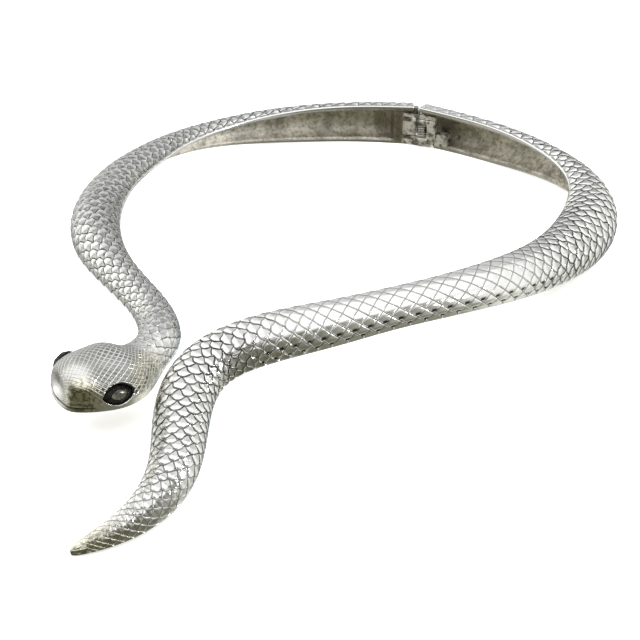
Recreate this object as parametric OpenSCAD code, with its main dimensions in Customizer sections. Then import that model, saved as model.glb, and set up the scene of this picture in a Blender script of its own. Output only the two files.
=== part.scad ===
// Snake necklace: a stiff cast collar in two halves, joined at the nape by a spring hinge.
// The head half runs round the wearer's one side to the snake's head, the tail half round
// the other side to the hanging tail. Both are hollow-backed castings with raised scales.
// Millimetres, +Z up, origin under the middle of the collar as it lies on a table.

/* [Casting] */
// Thickness of the cast wall at the rims and over the back
wall = 1.5; // [1.2:0.1:1.8]
// Height of the smooth lip that borders the scales
lip = 1.1; // [0.8:0.1:1.4]
// How far the middle of a scale stands above its grooves
scale_rise = 0.34; // [0:0.02:0.4]
// How far a scale's high point is shifted towards its free tip, as a share of its half length
scale_lean = 0.35; // [0:0.05:0.5]

/* [Spring hinge] */
// Diameter of the hinge pin
pin_d = 1.5; // [1.2:0.1:1.6]
// Clearance between the pin and its bores, on the diameter
pin_play = 0.1; // [0.06:0.01:0.2]
// Diameter of the riveted pin heads
pin_head_d = 2.6; // [2.2:0.1:3]
// Half width of the two ears on the head half, behind the pin
ear_half = 2.4; // [2.2:0.1:2.5]
// Reach of the upper ear beyond the pin
ear_reach = 5.4; // [3:0.1:5.6]
// Radius of the two knuckles on the tail half
knuckle_r = 2.4; // [2:0.1:2.6]
// Diameter of the spring wire
wire_d = 0.8; // [0.6:0.1:0.9]
// Outer diameter of the spring coil
coil_d = 4.0; // [3.6:0.1:4.2]
// Number of turns of the spring
coil_turns = 5; // [4:1:6]

/* [Eyes] */
// Length of an eye stone
eye_l = 6.8; // [6:0.2:8]
// Width of an eye stone
eye_w = 4.0; // [3:0.2:5]
// Height of an eye stone from its seat to its table
eye_h = 1.9; // [1.4:0.1:2.2]
// Width of the cast setting round a stone
setting_w = 0.5; // [0.4:0.1:0.8]

/* [Hidden] */

// Route of the head half, from the hinge to the snout. Columns: x, y, z of the middle of the
// open back, width over the rims, depth of the dome, lean of the dome (0 faces out, 90 faces
// up), fullness of the dome (2 is an ellipse), how deep the back is hollowed (0 to 1), relief
// of the scales (0 to 1), and the number of half scales from this row to the next.
HEAD_ROUTE = [
    [ -2.5, 106.3,  7.3, 14.5, 7.5,  4, 3.0, 1, 0.5,  9],
    [-20.7, 101.3,  7.2, 14.5, 7.5,  8, 2.3, 1, 1,  8],
    [-37.2,  93.0,  7.1, 14.5, 7.5, 14, 2.0, 1, 1,  8],
    [-52.2,  82.0,  7.1, 13.5, 7.0, 27, 2.0, 1, 1,  8],
    [-63.7,  68.5,  7.4, 12.0, 6.5, 42, 2.0, 1, 1,  7],
    [-68.7,  54.0,  8.5, 12.5, 6.8, 52, 2.0, 1, 1,  8],
    [-69.2,  37.0, 10.0, 15.0, 8.0, 58, 2.0, 1, 1,  9],
    [-69.2,  18.5, 12.0, 15.0, 8.0, 64, 2.0, 1, 1,  9],
    [-64.7,  -1.0, 13.5, 15.0, 8.0, 71, 2.0, 1, 1,  9],
    [-54.7, -19.0, 15.5, 14.0, 7.7, 77, 2.0, 1, 1,  9],
    [-39.2, -33.0, 16.0, 10.0, 5.6, 81, 2.0, 1, 1, 10],
    [-22.2, -44.0, 16.0,  9.2, 5.2, 84, 2.0, 0.6, 0.9,  9],
    [-13.7, -54.5, 15.5, 11.0, 6.4, 87, 2.0, 0, 0.8,  7],
    [-15.1, -61.5, 13.2, 10.3, 6.4, 89, 2.0, 0, 0.6,  5],
    [-16.7, -66.3, 12.2, 17.0, 8.2, 90, 2.1, 0, 0.5,  4],
    [-19.1, -70.2, 12.5, 22.4, 9.2, 90, 2.2, 0, 0.4,  4],
    [-22.1, -73.4, 12.4, 20.4, 9.0, 90, 2.3, 0, 0.4,  4],
    [-24.9, -76.5, 12.4, 18.4, 8.7, 90, 2.3, 0, 0.3, 3],
    [-26.8, -79.1, 12.4, 15.4, 7.4, 90, 2.4, 0, 0.1, 2],
    [-28.0, -80.7, 12.6, 12.0, 5.8, 90, 2.4, 0, 0, 2],
    [-28.5, -81.3, 13.0,  4.5, 2.2, 90, 2.4, 0, 0, 0]];

// Route of the tail half, from the hinge to the tip of the tail, in the same columns
TAIL_ROUTE = [
    [  -0.7, 106.5,  7.3, 14.5, 7.5,  6, 3.0, 1, 0.5,  7],
    [ 15.7, 104.4,  7.2, 14.5, 7.8,  8, 2.3, 1, 1,  6],
    [ 29.8, 100.0,  7.5, 14.8, 8.0, 12, 2.0, 1, 1,  7],
    [ 45.8,  94.0,  7.3, 13.8, 7.4, 23, 2.0, 1, 1,  9],
    [ 61.3,  81.0,  7.0, 14.8, 7.9, 37, 2.0, 1, 1,  9],
    [ 68.7,  61.7,  6.5, 18.5, 9.8, 50, 2.0, 1, 1,  9],
    [ 67.1,  43.0,  7.4, 17.0, 9.1, 60, 2.0, 1, 1,  9],
    [ 62.9,  24.0, 10.5, 14.6, 7.8, 65, 2.0, 1, 1,  8],
    [ 57.3,   8.7, 13.5, 13.5, 7.2, 69, 2.0, 1, 1,  6],
    [ 51.8,  -3.3, 16.0, 12.8, 6.8, 73, 2.0, 1, 1,  6],
    [ 43.8, -14.0, 17.0, 12.0, 6.4, 77, 2.0, 1, 1,  7],
    [ 32.6, -24.5, 16.8, 11.8, 6.2, 78, 2.0, 1, 1,  8],
    [ 20.5, -35.3, 15.7, 13.2, 7.0, 76, 2.0, 1, 1,  9],
    [  7.5, -46.0, 15.3, 14.0, 7.4, 74, 2.0, 1, 1,  9],
    [ -2.1, -59.0, 14.0, 13.2, 7.0, 74, 2.0, 1, 1,  9],
    [  -0.3, -73.3, 11.3, 13.6, 7.2, 76, 2.0, 0.8, 0.9, 11],
    [  6.7, -87.3,  6.5, 11.8, 6.3, 78, 2.0, 0, 0.8, 11],
    [  4.9, -101.5,  2.8,  8.6, 4.6, 81, 2.0, 0, 0.6, 13],
    [ -5.1, -112.0,  0.7,  3.6, 1.9, 85, 2.0, 0, 0.3,  2],
    [ -6.0, -113.1,  0.7,  1.4, 0.8, 85, 2.0, 0, 0,  0]];

// Names of the columns of both tables
WIDTH = 3;
DEPTH = 4;
LEAN = 5;
FULL = 6;
HOLLOW = 7;
RELIEF = 8;
HALVES = 9;

// Which way each half runs round the neck, seen from above
HEAD_SIDE = -1;
TAIL_SIDE = 1;

// Half scales across the dome, and points across the hollow back
ACROSS = 10;
INNER = 7;
RING = ACROSS + INNER + 3;

// Place of the hinge pin, and the plane of the open back there
pin_x = 0.3;
pin_y = 107.6;
back_y = 106.2;

// Heights of the parts on the pin, from the table up
ear_low = [0.4, 2.2];
knuckle_low = [2.4, 3.6];
knuckle_high = [9.2, 10.4];
ear_high = [10.6, 12.0];
bore_d = pin_d + pin_play;

// Height of the pin's foot, of its shank, and thickness of its lower and upper riveted heads
pin_foot = 0.1;
shank_h = 12.1;
foot_head_h = 0.25;
top_head_h = 0.6;

// The ears' front edge lies just before the open back, their arms run back into the casting,
// and the lower ear is the shorter one
ear_front = back_y - 0.4;
ear_arm = 8;
low_reach = ear_reach - 1.2;

// Post between the knuckles, clear of the coil, and the bracket beside it on the lower wall,
// clear of the lower ear at every opening. Columns: first x, last x, lowest z, highest z.
post = [pin_x + 2.8, pin_x + 5.4, 2.4, 10.4];
bracket = [pin_x + 5.2, pin_x + 9.8, 1, 5.6];
// Stop lug and spring seat of the head half, in the same columns
stop_lug = [pin_x - 4, pin_x - 1.6, 11, 14.4];
spring_seat = [pin_x - 8, pin_x - 2.7, 4.9, 8.4];
// Depth of those blocks, and of the wall that the bracket meets
block_deep = 2;
bracket_deep = 6.4;
// How far the lug and the bracket stand out of the open back
proud = 0.2;
// Peened peg in the pocket beyond the bracket: x, z, diameter, its foot in the pocket, length
peg = [12.8, 4.4, 1.3, 2.4, 3.6];

// Gap between the coil and the knuckles, length of the leg to the seat, gap before the post
coil_gap = 0.2;
leg = 4;
post_gap = 0.3;
// Points of the spring's path in one turn
turn_steps = 16;

// How far the dome of each half is cut back outside the pin, so that the collar can open,
// and how far the foot of the tail half is cut back for the lower ear
head_cut = 0.12;
tail_cut = 0.12;
foot_cut = 6.0;
// Stretches of the casting that these slanting cuts take up
cut_run = 8;
foot_run = 16;

// Heading of the head and place of the eyes, from the middle of the skull
head_heading = 250;
skull = [-22.3, -74.4, 15.8];
eye_out = 9.7;
eye_tilt = 60;
// Turn of each eye inwards, along the tapering flank
eye_toe = 15;
// How much further out the eye on the snake's right stands
right_eye_lift = 1.3;
// Heights over the eye's own plane: seat of the stone, foot and edge of the setting
seat_z = -1;
setting_foot = -2.4;
setting_edge = 0.3;
// How much longer the setting is than wide round the stone, and play of the stone in it
setting_tips = 1.3;
stone_play = 0.1;
// Outline of a stone from its seat up. Columns: share of the full outline, share of its height
STONE_LEVELS = [[0.9, 0.05], [1, 0.25], [1, 0.5], [0.56, 1]];
stone_corners = 16;

// Silver of the casting, steel of the spring, black of the stones
silver = [0.78, 0.78, 0.76];
steel = [0.6, 0.6, 0.58];
jet = [0.08, 0.08, 0.07];

// A unit vector along v
function unit(v) = v / norm(v);

// Rows with one more at each end, so that the smooth curve meets the first and last rows
function padded(rows) = let (n = len(rows))
    concat([2 * rows[0] - rows[1]], rows, [2 * rows[n - 1] - rows[n - 2]]);

// Smooth curve through a padded table at place t, counted in rows
function at(rows, t) = let (i = max(0, min(floor(t), len(rows) - 4)), u = t - i)
    [pow(1 - u, 3), 3 * pow(u, 3) - 6 * u * u + 4, -3 * pow(u, 3) + 3 * u * u + 3 * u + 1, pow(u, 3)] / 6
    * [rows[i], rows[i + 1], rows[i + 2], rows[i + 3]];

// Places of all stations, one for each half scale
function stations(rows) = concat(
    [for (i = [0 : len(rows) - 2]) for (k = [0 : rows[i][HALVES] - 1]) i + k / rows[i][HALVES]],
    [len(rows) - 1]);

// Place in space of the table at t
function place(rows, t) = let (r = at(rows, t)) [r[0], r[1], r[2]];

// Direction of travel at t
function heading(rows, t) = unit(place(rows, t + 0.02) - place(rows, t - 0.02));

// Signed power, for the fuller sections
function spow(v, p) = sign(v) * pow(abs(v), p);

// One point of the outer dome: column j of the scales, at station i. Returns the place
// across, outwards and along. Grooves lie where i + j is odd, high points where it is even.
function dome_point(row, i, j, half, side) = let (
    psi = -90 + 180 * j / ACROSS,
    semi = row[WIDTH] / 2,
    high = row[DEPTH] - lip_of(row),
    across = semi * spow(sin(psi), 2 / row[FULL]),
    out = high * spow(cos(psi), 2 / row[FULL]),
    normal = unit([sin(psi) / semi, cos(psi) / high]),
    edge = j == 0 || j == ACROSS,
    peak = (i + j) % 2 == 0 && !edge,
    rise = edge ? 0 : (peak ? 0.6 : -0.4) * scale_rise * row[RELIEF])
    [across + normal[0] * rise, lip_of(row) + out + normal[1] * rise,
        peak ? side * scale_lean * half * row[RELIEF] : 0];

// Height of the lip and thickness of the wall, both thinner where the body tapers
function lip_of(row) = min(lip, 0.2 * row[DEPTH]);
function wall_of(row) = min(wall, 0.13 * row[WIDTH]);

// One point of the hollow back, k = 0 at the lower rim
function inner_point(row, k, fill) = let (
    phi = -90 + 180 * k / (INNER - 1),
    semi = row[WIDTH] / 2 - wall_of(row),
    deep = (row[DEPTH] - wall_of(row)) * row[HOLLOW] * fill)
    [semi * spow(sin(phi), 2 / row[FULL]), deep * spow(cos(phi), 2 / row[FULL]), 0];

// Closed outline of one station: lower rim, dome, upper rim, then back through the hollow
function outline(row, i, half, side, fill) = concat(
    [[-row[WIDTH] / 2, 0, 0]],
    [for (j = [0 : ACROSS]) dome_point(row, i, j, half, side)],
    [[row[WIDTH] / 2, 0, 0]],
    [for (k = [INNER - 1 : -1 : 0]) inner_point(row, k, fill[k])]);

// Points of one station in space. shift moves a point along the route, by its place in the
// outline, for the slanting cuts at the hinge.
function ring(rows, t, i, half, side, fill, cut, foot) = let (
    row = at(rows, t),
    travel = heading(rows, t),
    out = unit(cross(travel, [0, 0, 1])) * -side,
    up = cross(travel, out) * side,
    face = cos(row[LEAN]) * out + sin(row[LEAN]) * up,
    rim = cos(row[LEAN]) * up - sin(row[LEAN]) * out)
    [for (p = outline(row, i, half, side, fill))
        place(rows, t) + p[0] * rim + p[1] * face
            + (p[2] + cut * p[1] + foot * (0.5 - p[0] / row[WIDTH])) * travel];

// Lengths along the route of all stations
function running(points, i = 0, sum = 0) = i >= len(points) ? [] :
    let (next = i == 0 ? 0 : sum + norm(points[i] - points[i - 1]))
    concat([next], running(points, i + 1, next));

// Two triangles of one patch, split along the grooves between the scales
function patch(i, k) = let (
    a = i * RING + k,
    b = i * RING + (k + 1) % RING,
    c = (i + 1) * RING + (k + 1) % RING,
    d = (i + 1) * RING + k,
    on_dome = k >= 1 && k <= ACROSS,
    split_ac = !on_dome || (i + k - 1) % 2 == 1)
    split_ac ? [[a, b, c], [a, c, d]] : [[a, b, d], [b, c, d]];

// Triangles that close one end: zip the dome side to the hollow side
function end_cap(base) = [
    for (m = [0 : ACROSS + 1]) [base + m, base + m + 1, base + RING - 1 - floor((m + 1) / 2)],
    for (q = [0 : INNER - 2]) [base + 2 * q + 1, base + RING - 2 - q, base + RING - 1 - q]];

// Faces with their corners in the opposite order
function reversed(faces) = [for (f = faces) [for (k = [len(f) - 1 : -1 : 0]) f[k]]];

// Fill of one station of the hollow back
solid_back = [for (k = [1 : INNER]) 0];
open_back = [for (k = [1 : INNER]) 1];

// One half of the collar. near_fill is the fill of the hollow near the hinge, a row for each
// of the first stations, and all later stations are open.
module casting(table, side, near_fill, cut, foot) {
    rows = padded(table);
    spots = stations(table);
    middles = [for (t = spots) place(rows, t)];
    run = running(middles);
    last = len(spots) - 1;
    points = [for (i = [0 : last]) each ring(rows, spots[i], i,
        i == last ? 0 : norm(middles[i + 1] - middles[i]), side,
        i < len(near_fill) ? near_fill[i] : open_back,
        cut * max(0, 1 - run[i] / cut_run),
        foot * max(0, 1 - run[i] / foot_run))];
    sides = [for (i = [0 : last - 1]) for (k = [0 : RING - 1]) each patch(i, k)];
    faces = concat(sides, reversed(end_cap(0)), end_cap(last * RING));
    polyhedron(points, side > 0 ? reversed(faces) : faces, convexity = 12);
}

// Outline of a marquise of the given length and width
module marquise(l, w) {
    r = (l * l + w * w) / (4 * w);
    intersection() {
        translate([0, r - w / 2]) circle(r = r, $fn = 96);
        translate([0, w / 2 - r]) circle(r = r, $fn = 96);
    }
}

// How much further out than the other one an eye stands
function eye_lift(flank) = flank > 0 ? 0 : right_eye_lift;

// Puts a child at an eye: x along the head, z out of the stone. flank 1 is the snake's left.
module at_eye(flank) {
    translate(skull) rotate([0, 0, head_heading]) translate([0, flank * eye_out, 0])
        rotate([0, 0, -flank * eye_toe]) rotate([-flank * eye_tilt, 0, 0])
            translate([0, 0, eye_lift(flank)]) children();
}

// Flat ear of the hinge, square towards its arm and rounded beyond the pin
module ear(heights, reach) {
    high = heights[1] - heights[0];
    deep = pin_y + ear_half - ear_front;
    translate([pin_x, 0, heights[0]]) {
        intersection() {
            translate([0, ear_front, 0]) cube([reach, deep, high]);
            translate([0, pin_y, 0]) cylinder(r = reach, h = high, $fn = 64);
        }
        translate([-ear_arm, ear_front, 0]) cube([ear_arm, deep, high]);
    }
}

// Plain block of the hinge from its four sizes, standing back from the open side
module block(sizes, front, deep) {
    translate([sizes[0], front, sizes[2]]) cube([sizes[1] - sizes[0], deep, sizes[3] - sizes[2]]);
}

// Bore for the hinge pin through the ears or the knuckles, up to the given height
module pin_bore(top) {
    translate([pin_x, pin_y, -1]) cylinder(d = bore_d, h = top + 1, $fn = 48);
}

// Cast setting of one eye, before its pocket is cut
module setting(flank) {
    foot = setting_foot - eye_lift(flank);
    at_eye(flank) translate([0, 0, foot]) linear_extrude(setting_edge - foot)
        marquise(eye_l + 2 * setting_tips * setting_w, eye_w + 2 * setting_w);
}

// Pocket of one stone, open to the outside
module eye_pocket(flank) {
    at_eye(flank) translate([0, 0, seat_z]) linear_extrude(2 * eye_h)
        marquise(eye_l + stone_play, eye_w + stone_play);
}

// Head half: casting, ears, stop, spring seat and the settings of the eyes
module head_arm() {
    color(silver) difference() {
        union() {
            casting(HEAD_ROUTE, HEAD_SIDE, [open_back, open_back, solid_back, solid_back], head_cut, 0);
            ear(ear_low, low_reach);
            ear(ear_high, ear_reach);
            block(stop_lug, back_y - proud, block_deep);
            block(spring_seat, back_y, block_deep);
            setting(1);
            setting(-1);
        }
        pin_bore(ear_high[1] + 1);
        eye_pocket(1);
        eye_pocket(-1);
    }
}

// Round knuckle of the tail half on the pin, with its arm to the post
module knuckle(heights) {
    high = heights[1] - heights[0];
    translate([pin_x, pin_y, heights[0]]) {
        cylinder(r = knuckle_r, h = high, $fn = 48);
        translate([0, -knuckle_r, 0]) cube([post[1] - pin_x - pin_d, 2 * knuckle_r, high]);
    }
}

// Tail half: casting, the two knuckles with the post between them, the bracket and the peg
module tail_arm() {
    color(silver) difference() {
        union() {
            casting(TAIL_ROUTE, TAIL_SIDE, [], tail_cut, foot_cut);
            knuckle(knuckle_low);
            knuckle(knuckle_high);
            block(post, pin_y - knuckle_r, 2 * knuckle_r);
            block(bracket, back_y - proud, bracket_deep);
            translate([peg[0], back_y + peg[3], peg[1]]) rotate([-90, 0, 0])
                cylinder(d = peg[2], h = peg[4], $fn = 24);
        }
        pin_bore(knuckle_high[1] + 1);
    }
}

// Hinge pin with its two riveted heads
module hinge_pin() {
    color(silver) translate([pin_x, pin_y, pin_foot]) {
        cylinder(d = pin_head_d, h = foot_head_h, $fn = 48);
        cylinder(d = pin_d, h = shank_h, $fn = 48);
        translate([0, 0, shank_h - 0.15]) cylinder(d = pin_head_d, h = top_head_h, $fn = 48);
    }
}

// Closed tube of a round wire along a path
module wire(path, d, sides) {
    n = len(path);
    aim = [for (i = [0 : n - 1]) unit(path[min(i + 1, n - 1)] - path[max(i - 1, 0)])];
    points = [for (i = [0 : n - 1]) let (
        u = unit(cross(aim[i], [0.1, 0.05, 1])),
        v = cross(aim[i], u))
        for (k = [0 : sides - 1]) path[i] + d / 2 * (cos(360 * k / sides) * u + sin(360 * k / sides) * v)];
    skin = [for (i = [0 : n - 2]) for (k = [0 : sides - 1]) let (
        a = i * sides + k,
        b = i * sides + (k + 1) % sides)
        [a, b, b + sides, a + sides]];
    ends = [[for (k = [sides - 1 : -1 : 0]) k], [for (k = [0 : sides - 1]) (n - 1) * sides + k]];
    polyhedron(points, reversed(concat(skin, ends)), convexity = 8);
}

// Torsion spring: one leg to the seat on the head half, the coil, one leg to the web
module hinge_spring() {
    mean = (coil_d - wire_d) / 2;
    base = knuckle_low[1] + coil_gap + wire_d / 2;
    climb = (knuckle_high[0] - coil_gap - wire_d / 2 - base) / coil_turns;
    coil = [for (i = [0 : coil_turns * turn_steps]) let (a = -90 + 360 * i / turn_steps)
        [mean * cos(a), mean * sin(a), base + climb * i / turn_steps]];
    path = concat([[-leg, -mean, base]], coil,
        [[post[0] - pin_x - post_gap, -mean, base + climb * coil_turns]]);
    color(steel) translate([pin_x, pin_y, 0]) wire(path, wire_d, 6);
}

// Marquise stone with a table, a faceted crown and a plain girdle
module eye_stone() {
    corners = stone_corners;
    r = (eye_l * eye_l + eye_w * eye_w) / (4 * eye_w);
    half_arc = asin(eye_l / 2 / r);
    rim = [for (s = [1, -1]) for (k = [0 : corners / 2 - 1])
        let (a = s * half_arc * (1 - 4 * k / corners))
        [r * sin(a), s * (r * cos(a) - (r - eye_w / 2))]];
    points = [for (level = STONE_LEVELS) for (p = rim)
        [level[0] * p[0], level[0] * p[1], seat_z + level[1] * eye_h]];
    skin = [for (m = [0 : len(STONE_LEVELS) - 2]) for (k = [0 : corners - 1]) let (
        a = m * corners + k,
        b = m * corners + (k + 1) % corners)
        [a, b, b + corners, a + corners]];
    ends = [[for (k = [corners - 1 : -1 : 0]) k],
        [for (k = [0 : corners - 1]) (len(STONE_LEVELS) - 1) * corners + k]];
    polyhedron(points, reversed(concat(skin, ends)), convexity = 4);
}

module eye_left() {
    color(jet) at_eye(1) eye_stone();
}

module eye_right() {
    color(jet) at_eye(-1) eye_stone();
}

head_arm();
tail_arm();
hinge_pin();
hinge_spring();
eye_left();
eye_right();
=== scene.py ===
"""Looks of a snake necklace: a hinged collar of cast silver with raised scales and stone eyes."""

from __future__ import annotations

import logging
import math
from collections.abc import Callable
from dataclasses import asdict, dataclass
from enum import Enum
from typing import NamedTuple

import bmesh
import bpy
import numpy as np
from mathutils import Matrix, Vector

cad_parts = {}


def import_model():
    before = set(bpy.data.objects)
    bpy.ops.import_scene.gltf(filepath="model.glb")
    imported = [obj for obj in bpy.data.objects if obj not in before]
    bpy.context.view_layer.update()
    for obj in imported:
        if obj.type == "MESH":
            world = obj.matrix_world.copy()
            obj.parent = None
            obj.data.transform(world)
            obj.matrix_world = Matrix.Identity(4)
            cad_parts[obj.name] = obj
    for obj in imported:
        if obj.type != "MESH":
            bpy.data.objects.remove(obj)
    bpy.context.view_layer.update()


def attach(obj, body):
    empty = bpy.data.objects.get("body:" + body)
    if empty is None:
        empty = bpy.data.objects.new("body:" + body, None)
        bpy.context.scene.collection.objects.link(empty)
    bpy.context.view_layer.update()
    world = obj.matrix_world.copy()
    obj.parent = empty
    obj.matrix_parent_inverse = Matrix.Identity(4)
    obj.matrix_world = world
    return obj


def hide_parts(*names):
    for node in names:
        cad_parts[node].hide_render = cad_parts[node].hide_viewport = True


LOG = logging.getLogger("necklace")
MM = 0.001
HALVES_ACROSS = 10
MERGE = 1e-4
CREASE = math.radians(40)
BEVEL_STEPS = 3

Array = np.ndarray
Band = tuple[float, float]
Place = tuple[float, float, float]
Colour = tuple[float, float, float]
Marks = dict[str, np.ndarray]
Values = dict[str | int, object]
Material = bpy.types.Material
Shape = bmesh.types.BMesh


class Side(Enum):
    """Which way a half of the collar runs round the neck, seen from above."""

    HEAD = -1
    TAIL = 1


class Slot(Enum):
    """Material slots of the part's record."""

    CASTING = "plated_casting"
    PIN = "plated_pin"
    SPRING = "spring_steel"
    STONE = "black_stone"


class Body(Enum):
    """Bodies that the hinge joins."""

    HEAD = "head_half"
    TAIL = "tail_half"


class Zone(Enum):
    """The three surfaces of a casting."""

    SCALES = 0
    LIP = 1
    HOLLOW = 2


class Spot(NamedTuple):
    """Round spot on a casting, where shade or a reflection is painted on its surface and its fine scales may
    be worn.

    Attributes:
        middle: Its middle, in millimetres.
        reach: Its radius, in millimetres.
        painted_shade_and_reflection: How strongly shade or a reflection is painted there, from 0 to 1.
        worn: How far its fine scales are worn away, from 0 to 1.
        hollow: Whether only the hollow back gets the painted shade.
    """

    middle: Place
    reach: float
    painted_shade_and_reflection: float
    worn: float = 0.0
    hollow: bool = False


class Grain(NamedTuple):
    """A noise: its waves in a metre, its octaves and the strength of the finer ones."""

    scale: float
    detail: float
    rough: float


class Veil(NamedTuple):
    """How a mask lays one tone over another: where it starts, where it is full, and how strong."""

    low: float
    high: float
    strength: float = 1.0

    def over(self, mask: Wire) -> Wire:
        """Share of the upper tone."""
        return mask.share(self.low, self.high) * self.strength


class PitRow(NamedTuple):
    """One row of pits along a rim, in half scales.

    Attributes:
        inward: Its distance from the rim.
        wide: Half the width of a pit.
        long: Half the length of a pit.
        even: Whether the pits lie at the even half scales along the body, and not at the odd ones.
    """

    inward: float
    wide: float
    long: float
    even: bool


class Section(NamedTuple):
    """Closed outlines of rings, in their own planes.

    Attributes:
        across: Place of each point across the body, in millimetres.
        out: Its place outwards.
        ways: Which way the relief grows there, across and outwards.
        lattice: The place across in half scales, which is alike in all rings.
        kinds: The surface that each point of a ring lies on.
    """

    across: Array
    out: Array
    ways: Array
    lattice: Array
    kinds: Array


class Row(NamedTuple):
    """One row of a route, in millimetres and degrees.

    x, y and z are the middle of the open back. lean is 0 where the dome faces out and 90 where it
    faces up, fullness is 2 for an elliptical dome, hollow and relief run from 0 to 1, and halves is
    the number of half scales up to the next row.
    """

    x: float
    y: float
    z: float
    width: float
    depth: float
    lean: float
    fullness: float
    hollow: float
    relief: float
    halves: int


HEAD_ROUTE = (
    Row(-2.5, 106.3, 7.3, 14.5, 7.5, 4, 3.0, 1, 0.5, 9),
    Row(-20.7, 101.3, 7.2, 14.5, 7.5, 8, 2.3, 1, 1, 8),
    Row(-37.2, 93.0, 7.1, 14.5, 7.5, 14, 2.0, 1, 1, 8),
    Row(-52.2, 82.0, 7.1, 13.5, 7.0, 27, 2.0, 1, 1, 8),
    Row(-63.7, 68.5, 7.4, 12.0, 6.5, 42, 2.0, 1, 1, 7),
    Row(-68.7, 54.0, 8.5, 12.5, 6.8, 52, 2.0, 1, 1, 8),
    Row(-69.2, 37.0, 10.0, 15.0, 8.0, 58, 2.0, 1, 1, 9),
    Row(-69.2, 18.5, 12.0, 15.0, 8.0, 64, 2.0, 1, 1, 9),
    Row(-64.7, -1.0, 13.5, 15.0, 8.0, 71, 2.0, 1, 1, 9),
    Row(-54.7, -19.0, 15.5, 14.0, 7.7, 77, 2.0, 1, 1, 9),
    Row(-39.2, -33.0, 16.0, 10.0, 5.6, 81, 2.0, 1, 1, 10),
    Row(-22.2, -44.0, 16.0, 9.2, 5.2, 84, 2.0, 0.6, 0.9, 9),
    Row(-13.7, -54.5, 15.5, 11.0, 6.4, 87, 2.0, 0, 0.8, 7),
    Row(-15.1, -61.5, 13.2, 10.3, 6.4, 89, 2.0, 0, 0.6, 5),
    Row(-16.7, -66.3, 12.2, 17.0, 8.2, 90, 2.1, 0, 0.5, 4),
    Row(-19.1, -70.2, 12.5, 22.4, 9.2, 90, 2.2, 0, 0.4, 4),
    Row(-22.1, -73.4, 12.4, 20.4, 9.0, 90, 2.3, 0, 0.4, 4),
    Row(-24.9, -76.5, 12.4, 18.4, 8.7, 90, 2.3, 0, 0.3, 3),
    Row(-26.8, -79.1, 12.4, 15.4, 7.4, 90, 2.4, 0, 0.1, 2),
    Row(-28.0, -80.7, 12.6, 12.0, 5.8, 90, 2.4, 0, 0, 2),
    Row(-28.5, -81.3, 13.0, 4.5, 2.2, 90, 2.4, 0, 0, 0),
)

TAIL_ROUTE = (
    Row(-0.7, 106.5, 7.3, 14.5, 7.5, 6, 3.0, 1, 0.5, 7),
    Row(15.7, 104.4, 7.2, 14.5, 7.8, 8, 2.3, 1, 1, 6),
    Row(29.8, 100.0, 7.5, 14.8, 8.0, 12, 2.0, 1, 1, 7),
    Row(45.8, 94.0, 7.3, 13.8, 7.4, 23, 2.0, 1, 1, 9),
    Row(61.3, 81.0, 7.0, 14.8, 7.9, 37, 2.0, 1, 1, 9),
    Row(68.7, 61.7, 6.5, 18.5, 9.8, 50, 2.0, 1, 1, 9),
    Row(67.1, 43.0, 7.4, 17.0, 9.1, 60, 2.0, 1, 1, 9),
    Row(62.9, 24.0, 10.5, 14.6, 7.8, 65, 2.0, 1, 1, 8),
    Row(57.3, 8.7, 13.5, 13.5, 7.2, 69, 2.0, 1, 1, 6),
    Row(51.8, -3.3, 16.0, 12.8, 6.8, 73, 2.0, 1, 1, 6),
    Row(43.8, -14.0, 17.0, 12.0, 6.4, 77, 2.0, 1, 1, 7),
    Row(32.6, -24.5, 16.8, 11.8, 6.2, 78, 2.0, 1, 1, 8),
    Row(20.5, -35.3, 15.7, 13.2, 7.0, 76, 2.0, 1, 1, 9),
    Row(7.5, -46.0, 15.3, 14.0, 7.4, 74, 2.0, 1, 1, 9),
    Row(-2.1, -59.0, 14.0, 13.2, 7.0, 74, 2.0, 1, 1, 9),
    Row(-0.3, -73.3, 11.3, 13.6, 7.2, 76, 2.0, 0.8, 0.9, 11),
    Row(6.7, -87.3, 6.5, 11.8, 6.3, 78, 2.0, 0, 0.8, 11),
    Row(4.9, -101.5, 2.8, 8.6, 4.6, 81, 2.0, 0, 0.6, 13),
    Row(-5.1, -112.0, 0.7, 3.6, 1.9, 85, 2.0, 0, 0.3, 2),
    Row(-6.0, -113.1, 0.7, 1.4, 0.8, 85, 2.0, 0, 0, 0),
)


# Noises that bend the rows of scales along and across, and the one of the rough hollow back
WANDERS = (Grain(230.0, 2.0, 0.5), Grain(270.0, 2.0, 0.5))
CAST_SURFACE = Grain(900.0, 3.0, 0.6)
# Pits along a rim, and the half width and half length of their flat floors
PIT_ROWS = (PitRow(0.35, 0.3, 0.45, even=False), PitRow(1.4, 0.35, 0.5, even=True))
PIT_FLOOR = (0.05, 0.1)


def operator(operation: str, reflected: bool = False) -> Callable[..., Wire]:
    """Method of a wire that adds a Math node.

    Args:
        operation: The Math node's operation.
        reflected: Whether the other value comes first.

    Returns:
        The method.
    """

    def method(wire: Wire, *others: Wire | float) -> Wire:
        """The Math node's result."""
        return wire.graph.maths(operation, *((*others, wire) if reflected else (wire, *others)))

    return method


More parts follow.
